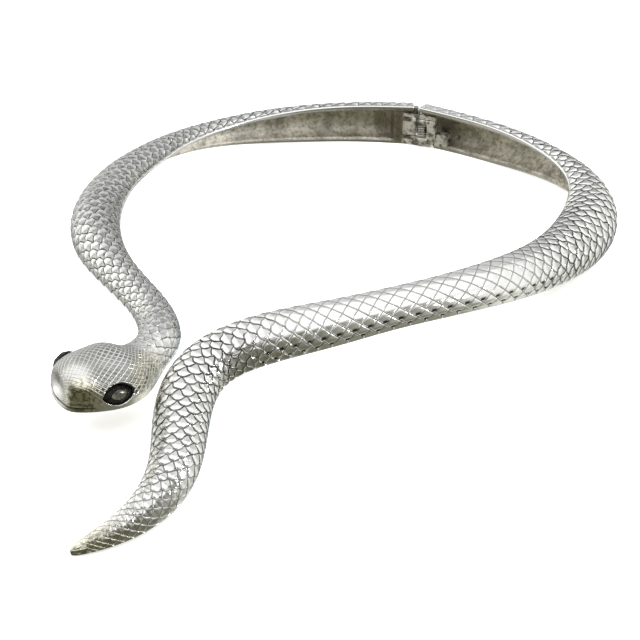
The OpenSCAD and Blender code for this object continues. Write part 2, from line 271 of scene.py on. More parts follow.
@dataclass
class Wire:
    """A socket of a node tree, with arithmetic that adds Math nodes. A remainder is never negative."""

    graph: Graph
    socket: bpy.types.NodeSocket

    __add__ = __radd__ = operator("ADD")
    __sub__ = operator("SUBTRACT")
    __rsub__ = operator("SUBTRACT", reflected=True)
    __mul__ = __rmul__ = operator("MULTIPLY")
    __truediv__ = operator("DIVIDE")
    __mod__ = operator("FLOORED_MODULO")
    __abs__ = operator("ABSOLUTE")
    least = operator("MINIMUM")
    most = operator("MAXIMUM")
    cosine = operator("COSINE")
    arcsine = operator("ARCSINE")
    arctan2 = operator("ARCTAN2")
    floor = operator("FLOOR")

    def output(self, name: str) -> Wire:
        """Another output of the same node, by its name."""
        return Wire(self.graph, self.graph.pick(self.socket.node.outputs, name))

    def share(self, low: float, high: float) -> Wire:
        """Smooth step from 0 at low to 1 at high."""
        values = {"Value": self, "From Min": low, "From Max": high}
        return self.graph.add("ShaderNodeMapRange", {"interpolation_type": "SMOOTHSTEP"}, values)

    def shoulder(self, reach: Wire | float) -> Wire:
        """Rises from 0 to 1 over reach, steep at first and level at the end."""
        part = (self / reach).least(1.0).most(0.0)
        return part * (2.0 - part)


@dataclass
class Graph:
    """A node tree that is filled by calls."""

    tree: bpy.types.NodeTree

    @staticmethod
    def pick(sockets: bpy.types.bpy_prop_collection, key: str | int) -> bpy.types.NodeSocket:
        """The socket in use with that name, or the one at that place."""
        used = (socket for socket in sockets if socket.enabled and socket.name == key)
        return sockets[key] if isinstance(key, int) else next(used)

    def add(self, kind: str, settings: dict[str, object] | None = None, values: Values | None = None) -> Wire:
        """Adds one node.

        Args:
            kind: The node's type.
            settings: Its properties, set first. "stops" is a ramp's places and colours.
            values: Numbers, colours or wires for its inputs, by name or index.

        Returns:
            Its first output in use.
        """
        node = self.tree.nodes.new(kind)
        for name, value in (settings or {}).items():
            if name == "stops":
                self._set_stops(node.color_ramp, value)
            else:
                setattr(node, name, value)
        for key, value in (values or {}).items():
            socket = self.pick(node.inputs, key)
            if isinstance(value, Wire):
                self.tree.links.new(value.socket, socket)
            else:
                socket.default_value = value
        return Wire(self, next((s for s in node.outputs if s.enabled), None))

    @staticmethod
    def _set_stops(ramp: bpy.types.ColorRamp, stops: list[tuple[float, Colour]]) -> None:
        """Gives a colour ramp its stops.

        Args:
            ramp: The ramp.
            stops: Places from 0 to 1, each with its colour.
        """
        while len(ramp.elements) < len(stops):
            ramp.elements.new(1.0)
        for element, (place, colour) in zip(ramp.elements, stops):
            element.position = place
            element.color = (*colour, 1.0)

    def maths(self, operation: str, *values: Wire | float) -> Wire:
        """A Math node on up to three values."""
        return self.add("ShaderNodeMath", {"operation": operation}, dict(enumerate(values)))

    def vector(self, operation: str, first: Wire, second: Wire | Place) -> Wire:
        """A Vector Math node with two inputs, where a scale takes a number."""
        key = "Scale" if operation == "SCALE" else 1
        return self.add("ShaderNodeVectorMath", {"operation": operation}, {0: first, key: second})

    def noise(self, place: Wire, grain: Grain) -> Wire:
        """Smooth noise from 0 to 1, read at a place."""
        values = {"Vector": place, "Scale": grain.scale, "Detail": grain.detail, "Roughness": grain.rough}
        return self.add("ShaderNodeTexNoise", None, values)

    def mix(self, share: Wire, first: Wire | Colour, second: Wire | Colour) -> Wire:
        """Mixes two colours.

        Args:
            share: 0 for the first colour, 1 for the second.
            first: A colour or a wire of one.
            second: A colour or a wire of one.

        Returns:
            The mixed colour.
        """
        ends = [c if isinstance(c, Wire) else (*c, 1.0) for c in (first, second)]
        values = {"Factor": share, "A": ends[0], "B": ends[1]}
        return self.add("ShaderNodeMix", {"data_type": "RGBA"}, values)

    def layered(self, tone: Colour, *layers: tuple[Wire, Colour]) -> Wire:
        """Lays colours over a first one.

        Args:
            tone: The first colour.
            layers: Shares from 0 to 1, each with its colour.

        Returns:
            The mixed colour.
        """
        for share, upper in layers:
            tone = self.mix(share, tone, upper)
        return tone

    def place(self) -> Wire:
        """The point on the piece, in Object coordinates."""
        return self.add("ShaderNodeTexCoord").output("Object")

    def painted(self, name: str) -> Wire:
        """An attribute of the mesh, as a number."""
        return self.add("ShaderNodeAttribute", {"attribute_name": name}).output("Fac")

    def bump(self, height: Wire) -> Wire:
        """The normal over a height, in metres."""
        return self.add("ShaderNodeBump", None, {"Height": height, "Distance": 1.0, "Strength": 1.0})

    def principled(self, values: Values) -> Wire:
        """A Principled shader."""
        return self.add("ShaderNodeBsdfPrincipled", None, values)

    def show(self, surface: Wire, kind: str = "ShaderNodeOutputMaterial") -> None:
        """Joins a shader to the tree's output."""
        self.add(kind, None, {"Surface": surface})


class Growth(Graph):
    """A Geometry Nodes tree with named sizes that ends in a plain mesh with one finish."""

    def __init__(self, name: str, sizes: dict[str, float | int]) -> None:
        """Makes the tree's interface.

        Args:
            name: Name of the tree.
            sizes: Its named inputs, each with the value used here.
        """
        tree = bpy.data.node_groups.new(name, "GeometryNodeTree")
        super().__init__(tree)
        tree.interface.new_socket("Geometry", in_out="INPUT", socket_type="NodeSocketGeometry")
        for label, value in sizes.items():
            kind = "NodeSocketInt" if isinstance(value, int) else "NodeSocketFloat"
            tree.interface.new_socket(label, in_out="INPUT", socket_type=kind)
        tree.interface.new_socket("Finish", in_out="INPUT", socket_type="NodeSocketMaterial")
        tree.interface.new_socket("Geometry", in_out="OUTPUT", socket_type="NodeSocketGeometry")
        self.sizes = sizes
        self.entry = tree.nodes.new("NodeGroupInput")

    def size(self, label: str) -> Wire:
        """One of the named inputs."""
        return Wire(self, self.entry.outputs[label])

    def attribute(self, name: str, kind: str = "FLOAT") -> Wire:
        """An attribute of the source mesh, by its name."""
        return self.add("GeometryNodeInputNamedAttribute", {"data_type": kind}, {"Name": name})

    def store(self, geometry: Wire, name: str, value: Wire) -> Wire:
        """Keeps a value on the points of the mesh.

        Args:
            geometry: The mesh.
            name: Name of the attribute.
            value: What it holds.

        Returns:
            The mesh with the attribute.
        """
        values = {"Geometry": geometry, "Name": name, "Value": value}
        settings = {"data_type": "FLOAT", "domain": "POINT"}
        return self.add("GeometryNodeStoreNamedAttribute", settings, values)

    def close(self, geometry: Wire) -> None:
        """Ends the tree with real geometry, smooth faces and the finish.

        Args:
            geometry: The finished geometry.
        """
        real = self.add("GeometryNodeRealizeInstances", None, {"Geometry": geometry})
        smooth = self.add("GeometryNodeSetShadeSmooth", None, {"Geometry": real})
        values = {"Geometry": smooth, "Material": self.size("Finish")}
        dressed = self.add("GeometryNodeSetMaterial", None, values)
        self.add("NodeGroupOutput", None, {"Geometry": dressed})

    def grow(self, source: bpy.types.Mesh, name: str, finish: Material) -> bpy.types.Object:
        """Runs the tree on a mesh.

        Args:
            source: The mesh that the tree starts from.
            name: Name of the finished piece.
            finish: Its material.

        Returns:
            An object with a plain mesh and no modifier.
        """
        carrier = link(name + "_source", source)
        modifier = carrier.modifiers.new("growth", "NODES")
        modifier.node_group = self.tree
        wanted = {**self.sizes, "Finish": finish}
        for item in self.tree.interface.items_tree:
            if item.in_out == "INPUT" and item.name in wanted:
                modifier[item.identifier] = wanted[item.name]
        bpy.context.view_layer.update()
        evaluated = carrier.evaluated_get(bpy.context.evaluated_depsgraph_get())
        mesh = bpy.data.meshes.new_from_object(evaluated)
        mesh.name = name
        piece = link(name, mesh)
        bpy.data.objects.remove(carrier)
        return piece


@dataclass(frozen=True)
class ScaleRelief:
    """Rule for the raised scales of a casting, as a Geometry Nodes tree.

    The source mesh carries its place in the lattice of half scales, counted along and across, and
    the grooves lie where the sum or the difference of the two is odd. Each size is an input of the
    tree. The two that start with tile are what overlapping scales add to the value for flat ones.
    """

    rise: float = 0.42 * MM
    sunk_share: float = 0.6
    groove: float = 0.2
    crown: float = 0.3
    tile_crown: float = 0.4
    bold: float = 0.6
    tile_bold: float = 0.4
    bow: float = 0.42
    overlap: float = 0.9
    scatter: float = 0.4
    wander: float = 0.9
    pit: float = 0.25 * MM
    fine_rise: float = 0.05 * MM
    fine_groove: float = 0.5
    cast_grain: float = 0.1 * MM
    seed: int = 7

    def tree(self) -> Growth:
        """Builds the tree.

        Returns:
            The tree.
        """
        growth = Growth("Scale relief", asdict(self))
        size = growth.size
        place = growth.add("GeometryNodeInputPosition")
        relief, overlap, point = map(growth.attribute, ("relief", "overlap", "tip_way"))
        wander = [(growth.noise(place, grain) - 0.5) * size("wander") for grain in WANDERS]
        along = growth.attribute("scale_along") + wander[0] * overlap
        across = growth.attribute("scale_across") + wander[1] * overlap
        lines = (along + across, along - across)
        pad = self._pad(lines, size("groove"), overlap * size("tile_crown") + size("crown"))
        local = [(line + 1.0) % 2.0 - 1.0 for line in lines]
        spread = self._scatter(growth, lines)
        forward = (local[0] + local[1]) * 0.5
        sideways = (local[0] - local[1]) * 0.5
        sunk = (1.0 - forward * point) * 0.5 * overlap * size("overlap")
        loose = forward * spread[0] + sideways * spread[1]
        bold = overlap * size("tile_bold") + size("bold")
        height = (pad * (1.0 - sunk + loose) - size("sunk_share")) * size("rise") * bold
        pits = self._pits(along, across) * relief * growth.attribute("pitted")
        body = height * relief * growth.attribute("border") - pits * size("pit")

        fine, fine_along, fine_across = map(growth.attribute, ("fine", "fine_along", "fine_across"))
        fine_lines = (fine_along + fine_across, fine_along - fine_across)
        fine_pad = self._pad(fine_lines, size("fine_groove"), size("crown"))
        small = (0.5 - fine_pad) * fine * size("fine_rise")
        rough = growth.noise(place, CAST_SURFACE) - 0.5
        grain = rough * growth.attribute("hollow_wall") * size("cast_grain")
        offset = growth.vector("SCALE", growth.attribute("outward", "FLOAT_VECTOR"), body + small + grain)

        free = relief * growth.attribute("border") * overlap
        bowed = self._bowed(lines) * free * point * size("bow")
        shift = growth.vector("SCALE", growth.attribute("half_step", "FLOAT_VECTOR"), bowed)
        values = {"Geometry": size("Geometry"), "Offset": growth.vector("ADD", offset, shift)}
        geometry = growth.add("GeometryNodeSetPosition", None, values)
        groove = ((1.0 - pad) * relief + (1.0 - fine_pad) * fine).least(1.0)
        kept = {"scale_along_worn": along, "scale_across_worn": across, "groove": groove, "pit": pits}
        for name, value in kept.items():
            geometry = growth.store(geometry, name, value)
        growth.close(geometry)
        return growth

    @staticmethod
    def _pad(lines: tuple[Wire, Wire], reach: Wire, crown: Wire) -> Wire:
        """Pillow shape of the scales.

        Args:
            lines: Both diagonal counts of the lattice, odd on the grooves.
            reach: How far a groove's wall reaches, in half scales.
            crown: Share of the height that is rounded.

        Returns:
            0 in a groove and 1 on the crown of a scale.
        """
        gaps = [abs(line % 2.0 - 1.0) for line in lines]
        flat = gaps[0].shoulder(reach) * gaps[1].shoulder(reach)
        dome = gaps[0].shoulder(1.0) * gaps[1].shoulder(1.0)
        return flat * (1.0 - crown) + dome * crown

    @staticmethod
    def _bowed(lines: tuple[Wire, Wire]) -> Wire:
        """1 in the middle of every edge of a scale, and 0 on its corners and its crown."""
        first, second = ((line * math.pi).cosine() * 0.5 for line in lines)
        return (0.5 - first) * (0.5 + second) + (0.5 + first) * (0.5 - second)

    @staticmethod
    def _scatter(growth: Growth, lines: tuple[Wire, Wire]) -> tuple[Wire, Wire]:
        """Small random tilts of each scale.

        Args:
            growth: The tree.
            lines: Both diagonal counts of the lattice, odd on the grooves.

        Returns:
            The tilts along and across.
        """
        cell = [((line + 1.0) * 0.5).floor() for line in lines]
        spot = growth.add("ShaderNodeCombineXYZ", None, {0: cell[0], 1: cell[1], 2: growth.size("seed")})
        grain = growth.add("ShaderNodeTexWhiteNoise", {"noise_dimensions": "3D"}, {"Vector": spot})
        parts = growth.add("ShaderNodeSeparateXYZ", None, {0: grain.output("Color")})
        amount = growth.size("scatter")
        return (parts - 0.5) * amount, (parts.output("Y") - 0.5) * amount

    @staticmethod
    def _pits(along: Wire, across: Wire) -> Wire:
        """Small pits above the crossings of the two outermost rows of grooves.

        Args:
            along: Place along the body, in half scales.
            across: Place across the body, in half scales.

        Returns:
            1 in the middle of a pit and 0 off it.
        """
        edge = across.least(float(HALVES_ACROSS) - across)
        odd = abs(along % 2.0 - 1.0)
        pits = []
        for row in PIT_ROWS:
            wide = abs(edge - row.inward).share(PIT_FLOOR[0], row.wide)
            long = (1.0 - odd if row.even else odd).share(PIT_FLOOR[1], row.long)
            pits.append((1.0 - wide) * (1.0 - long))
        return pits[0].most(pits[1])


@dataclass(frozen=True)
class PlatedSilver:
    """Bright plated casting metal, darker and rougher in its grooves and in the hollow back, with painted
    shade under the free edges and at the roots of overlapping scales, and painted shade or reflection round
    some spots.
    """

    name: str
    tone: Colour = (0.93, 0.93, 0.92)
    # Dark oxide in the grooves; also painted shadow under the free edges of overlapping scales, and dark
    # flecks in the painted patches round the spots
    oxide_and_painted_shade: Colour = (0.06, 0.06, 0.055)
    # Painted shade at the root of each overlapping scale, under the edge of the one before it; also the
    # duller faces between the raised lines of the head's fine scales
    dull_and_root_shade: Colour = (0.3, 0.3, 0.285)
    # Tint of the painted shade and painted reflection round the spots
    olive: Colour = (0.85, 0.81, 0.6)
    # Near black in the pits and along the mouth line
    near_black: Colour = (0.012, 0.012, 0.011)
    bare: Colour = (0.78, 0.76, 0.72)
    raw: Colour = (1.0, 0.96, 0.88)
    burnt: Colour = (0.25, 0.23, 0.18)
    # Painted shade on the hollow back round the hinge
    painted_shade_brown: Colour = (0.16, 0.13, 0.09)
    polish: float = 0.13
    cloud_rough: float = 0.08
    groove_rough: float = 0.05
    cast_rough: float = 0.55
    lump_rough: float = 0.3
    line_reach: float = 0.14
    line_depth: float = 0.24 * MM
    line_veil: Veil = Veil(0.6, 0.9, 0.85)
    step_height: float = 0.6 * MM
    step_reach: float = 0.155
    step_shade: Band = (0.0, 0.35)
    # Where the painted shade at each scale's root fades out, and how strong it is
    root_start: float = 0.3
    root_shade_strength: float = 0.72
    fine_reach: float = 0.36
    fine_depth: float = 0.14 * MM
    clouds: Grain = Grain(260.0, 4.0, 0.6)
    cloud_veil: Veil = Veil(0.4, 0.8, 0.15)
    # Noise that breaks up the painted shadow under the free edges
    shadow_breakup: Grain = Grain(420.0, 2.0, 0.6)
    shadow_breakup_veil: Veil = Veil(0.38, 0.52, 0.35)
    flecks: Grain = Grain(1000.0, 2.0, 0.6)
    fleck_veil: Veil = Veil(0.48, 0.6, 0.9)
    mouth_veil: Veil = Veil(0.3, 0.8, 0.9)
    pit_veil: Veil = Veil(0.25, 0.7, 0.96)
    grain: Grain = Grain(2600.0, 3.0, 0.6)
    grain_depth: float = 0.008 * MM
    lumps: Grain = Grain(700.0, 4.0, 0.65)
    lump_veil: Veil = Veil(0.4, 0.7, 0.6)
    cast_depth: float = 0.22 * MM
    blotches: Grain = Grain(110.0, 4.0, 0.65)
    blotch_veil: Veil = Veil(0.42, 0.66, 0.6)

    def make(self) -> Material:
        """Builds the material.

        Returns:
            The material.
        """
        material, graph = shader(self.name)
        names = ("hollow_wall", "groove", "pit", "overlap", "relief", "fine", "painted_shade_and_reflection", "mouth")
        hollow, groove, pit, overlap, relief, fine, painted_shade_and_reflection, mouth = map(graph.painted, names)
        place = graph.place()
        grains = (self.clouds, self.grain, self.lumps, self.shadow_breakup, self.flecks, self.blotches)
        clouds, grain, lumps, shadow_breakup, flecks, blotches = (graph.noise(place, kind) for kind in grains)

        line = self.cut(graph, "scale", self.line_reach) * relief * (1.0 - overlap)
        fine_line = self.cut(graph, "fine", self.fine_reach) * fine
        steps, under, root = (value * relief * overlap for value in self.steps(graph))
        # Painted shadow under the free edge of each overlapping scale
        shadow = under * (self.shadow_breakup_veil.over(shadow_breakup) + (1.0 - self.shadow_breakup_veil.strength))
        # Painted shade at the roots, dark grooves with painted shadow under the edges, painted shade and
        # reflection round the spots, near black mouth and pits, random bare tone
        skin = graph.layered(
            self.tone,
            ((root * self.root_shade_strength).most(fine * (1.0 - fine_line)), self.dull_and_root_shade),
            (self.line_veil.over(line).most(shadow), self.oxide_and_painted_shade),
            (painted_shade_and_reflection, self.olive),
            (painted_shade_and_reflection * self.fleck_veil.over(flecks), self.oxide_and_painted_shade),
            (self.mouth_veil.over(mouth), self.near_black),
            (self.cloud_veil.over(clouds), self.bare),
            (self.pit_veil.over(pit), self.near_black),
        )
        # Hollow back: random dark lumps and blotches, with painted shade round the hinge
        back = graph.layered(
            self.raw,
            (self.lump_veil.over(lumps), self.burnt),
            (self.blotch_veil.over(blotches), self.burnt),
            (painted_shade_and_reflection, self.painted_shade_brown),
        )
        rough = self.polish + (clouds - 0.5) * self.cloud_rough + groove * self.groove_rough
        rough = rough * (1.0 - hollow) + (self.cast_rough + (lumps - 0.5) * self.lump_rough) * hollow
        carved = steps * self.step_height + fine_line * self.fine_depth - line * self.line_depth
        height = (carved + grain * self.grain_depth) * (1.0 - hollow) + lumps * self.cast_depth * hollow
        values = {"Roughness": rough, "Metallic": 1.0, "Normal": graph.bump(height)}
        graph.show(graph.principled({"Base Color": graph.mix(hollow, skin, back), **values}))
        return material

    @staticmethod
    def cut(graph: Graph, lattice: str, reach: float) -> Wire:
        """Sharp line along the grooves of a lattice.

        Args:
            graph: The material's graph.
            lattice: First part of the names of the lattice's two attributes.
            reach: Half the width of the line, in half scales.

        Returns:
            1 in the middle of a groove, 0 from the reach on, straight between them.
        """
        along, across = map(graph.painted, (lattice + "_along", lattice + "_across"))
        gaps = [abs(line % 2.0 - 1.0) for line in (along + across, along - across)]
        return (1.0 - gaps[0].least(gaps[1]) / reach).most(0.0)

    def steps(self, graph: Graph) -> tuple[Wire, Wire, Wire]:
        """Scales that lie over one another like tiles.

        Args:
            graph: The material's graph.

        Returns:
            The height in steps, the painted shadow in the gap under each free edge, and the painted shade at
            the root of each scale.
        """
        along, across, way = map(graph.painted, ("scale_along_worn", "scale_across_worn", "tip_way"))
        rows = [((line * way - 1.0) % 2.0) * 0.5 for line in (along + across, along - across)]
        walls = [((row - (1.0 - self.step_reach)) / self.step_reach).most(0.0) for row in rows]
        height = rows[0] - walls[0] + rows[1] - walls[1]
        root = 1.0 - rows[0].most(rows[1]).share(self.root_start, 1.0 - self.step_reach)
        return height, walls[0].most(walls[1]).share(*self.step_shade), root


@dataclass(frozen=True)
class MachinedMetal:
    """Small metal part of the hinge: plain plated metal or spring wire, with fine draw marks."""

    name: str
    tone: Colour
    polish: float = 0.4
    metal: float = 0.85
    clouds: Grain = Grain(400.0, 4.0, 0.6)
    cloud_rough: float = 0.2
    stain_veil: Veil = Veil(0.45, 0.62, 0.8)
    stain_tone: float = 0.06
    marks: Grain = Grain(700.0, 2.0, 0.5)
    marks_depth: float = 0.15 * MM

    def make(self) -> Material:
        """Builds the material.

        Returns:
            The material.
        """
        material, graph = shader(self.name)
        place = graph.place()
        clouds = graph.noise(place, self.clouds)
        stained = tuple(self.stain_tone * part for part in self.tone)
        values = {
            "Base Color": graph.mix(self.stain_veil.over(clouds), self.tone, stained),
            "Roughness": self.polish + (clouds - 0.5) * self.cloud_rough,
            "Metallic": self.metal,
            "Normal": graph.bump(graph.noise(place, self.marks) * self.marks_depth),
        }
        graph.show(graph.principled(values))
        return material


@dataclass(frozen=True)
class BlackStone:
    """Polished black stone, with faint smoky depth and a paler reflection painted on its table."""

    name: str
    tone: Colour = (0.003, 0.003, 0.003)
    smoke: Colour = (0.015, 0.015, 0.012)
    # Paler colour painted on the table's faces as a reflection
    table: Colour = (0.085, 0.085, 0.062)
    clouds: Grain = Grain(700.0, 3.0, 0.5)
    smoke_veil: Veil = Veil(0.4, 0.8)
    table_reflection_veil: Veil = Veil(0.3, 0.7)
    polish: float = 0.05
    cloud_rough: float = 0.04
    crown_ior: float = 1.2
    table_ior: float = 1.5

    def make(self) -> Material:
        """Builds the material.

        Returns:
            The material.
        """
        material, graph = shader(self.name)
        clouds = graph.noise(graph.place(), self.clouds)
        flat = graph.painted("table")
        # Painted paler reflection on the table's faces, mottled by noise
        smoky, pale = self.smoke_veil.over(clouds), flat * self.table_reflection_veil.over(clouds)
        colour = graph.layered(self.tone, (smoky, self.smoke), (pale, self.table))
        values = {"Base Color": colour, "Roughness": self.polish + clouds * self.cloud_rough}
        crown, table = (graph.principled({**values, "IOR": ior}) for ior in (self.crown_ior, self.table_ior))
        graph.show(graph.add("ShaderNodeMixShader", None, {0: flat, 1: crown, 2: table}))
        return material


def shader(name: str) -> tuple[Material, Graph]:
    """A new material with an empty node tree.

    Args:
        name: Name of the material.

    Returns:
        The material and its graph.
    """
    material = bpy.data.materials.new(name)
    material.use_nodes = True
    material.node_tree.nodes.clear()
    return material, Graph(material.node_tree)


def link(name: str, data: bpy.types.ID) -> bpy.types.Object:
    """Puts a mesh, a light or a camera into the scene, as an object at the origin.

    Args:
        name: Name of the object.
        data: What it shows.

    Returns:
        The object.
    """
    piece = bpy.data.objects.new(name, data)
    bpy.context.scene.collection.objects.link(piece)
    return piece


def settle(piece: bpy.types.Object, body: Body, slot: Slot, node: str) -> None:
    """Lets a piece ride on its body and stand for its solid.

    Args:
        piece: The finished piece.
        body: The body it moves with.
        slot: The slot of its finish; not used.
        node: The node that it replaces.
    """
    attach(piece, body.value)
    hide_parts(node)
    LOG.info("%s: %d faces on %s", piece.name, len(piece.data.polygons), body.value)


def unit(vectors: Array) -> Array:
    """Vectors of length 1 along the last axis."""
    return vectors / np.linalg.norm(vectors, axis=-1, keepdims=True)


def signed_power(values: Array, power: Array) -> Array:
    """Power of the size of each value, with its sign kept."""
    return np.sign(values) * np.abs(values) ** power


def ease(values: Array, low: float, high: float) -> Array:
    """Smooth step from 0 at low to 1 at high."""
    part = np.clip((values - low) / (high - low), 0.0, 1.0)
    return part * part * (3.0 - 2.0 * part)


def column(columns: Array, name: str) -> Array:
    """One column of a route's table by its name, upright."""
    return columns[:, [Row._fields.index(name)]]


@dataclass
class Route:
    """Smooth course of one half, with all its columns."""

    rows: tuple[Row, ...]
    side: Side
    nudge: float = 0.02

    def __post_init__(self) -> None:
        """Adds a reflected row at each end, so that the curve meets the first and last rows."""
        table = np.array([row[:-1] for row in self.rows], float)
        self.table = np.vstack([2 * table[0] - table[1], table, 2 * table[-1] - table[-2]])
        spots = [i + k / row.halves for i, row in enumerate(self.rows[:-1]) for k in range(row.halves)]
        self.spots = np.array(spots + [len(self.rows) - 1.0])
        self.last = len(spots)

    def spot(self, halves: Array) -> Array:
        """Places counted in rows, from places counted in half scales."""
        return np.interp(halves, np.arange(self.last + 1), self.spots)

    def at(self, spot: Array) -> Array:
        """All columns at places along the route.

        Args:
            spot: Places counted in rows.

        Returns:
            One line of columns for each place.
        """
        first = np.clip(np.floor(spot).astype(int), 0, len(self.rows) - 2)
        part = (spot - first)[:, None]
        weights = (
            (1 - part) ** 3,
            3 * part**3 - 6 * part**2 + 4,
            -3 * part**3 + 3 * part**2 + 3 * part + 1,
            part**3,
        )
        return sum(w * self.table[first + k] for k, w in enumerate(weights)) / 6

    def frame(self, spot: Array) -> tuple[Array, Array, Array, Array]:
        """Columns and directions at places along the route.

        Args:
            spot: Places counted in rows.

        Returns:
            The columns, the travel, the way the dome faces and the way to the upper rim.
        """
        columns = self.at(spot)
        travel = unit(self.at(spot + self.nudge)[:, :3] - self.at(spot - self.nudge)[:, :3])
        out = unit(np.cross(travel, [0.0, 0.0, 1.0])) * -self.side.value
        up = np.cross(travel, out) * self.side.value
        lean = np.radians(column(columns, "lean"))
        face = np.cos(lean) * out + np.sin(lean) * up
        rim = np.cos(lean) * up - np.sin(lean) * out
        return columns, travel, face, rim


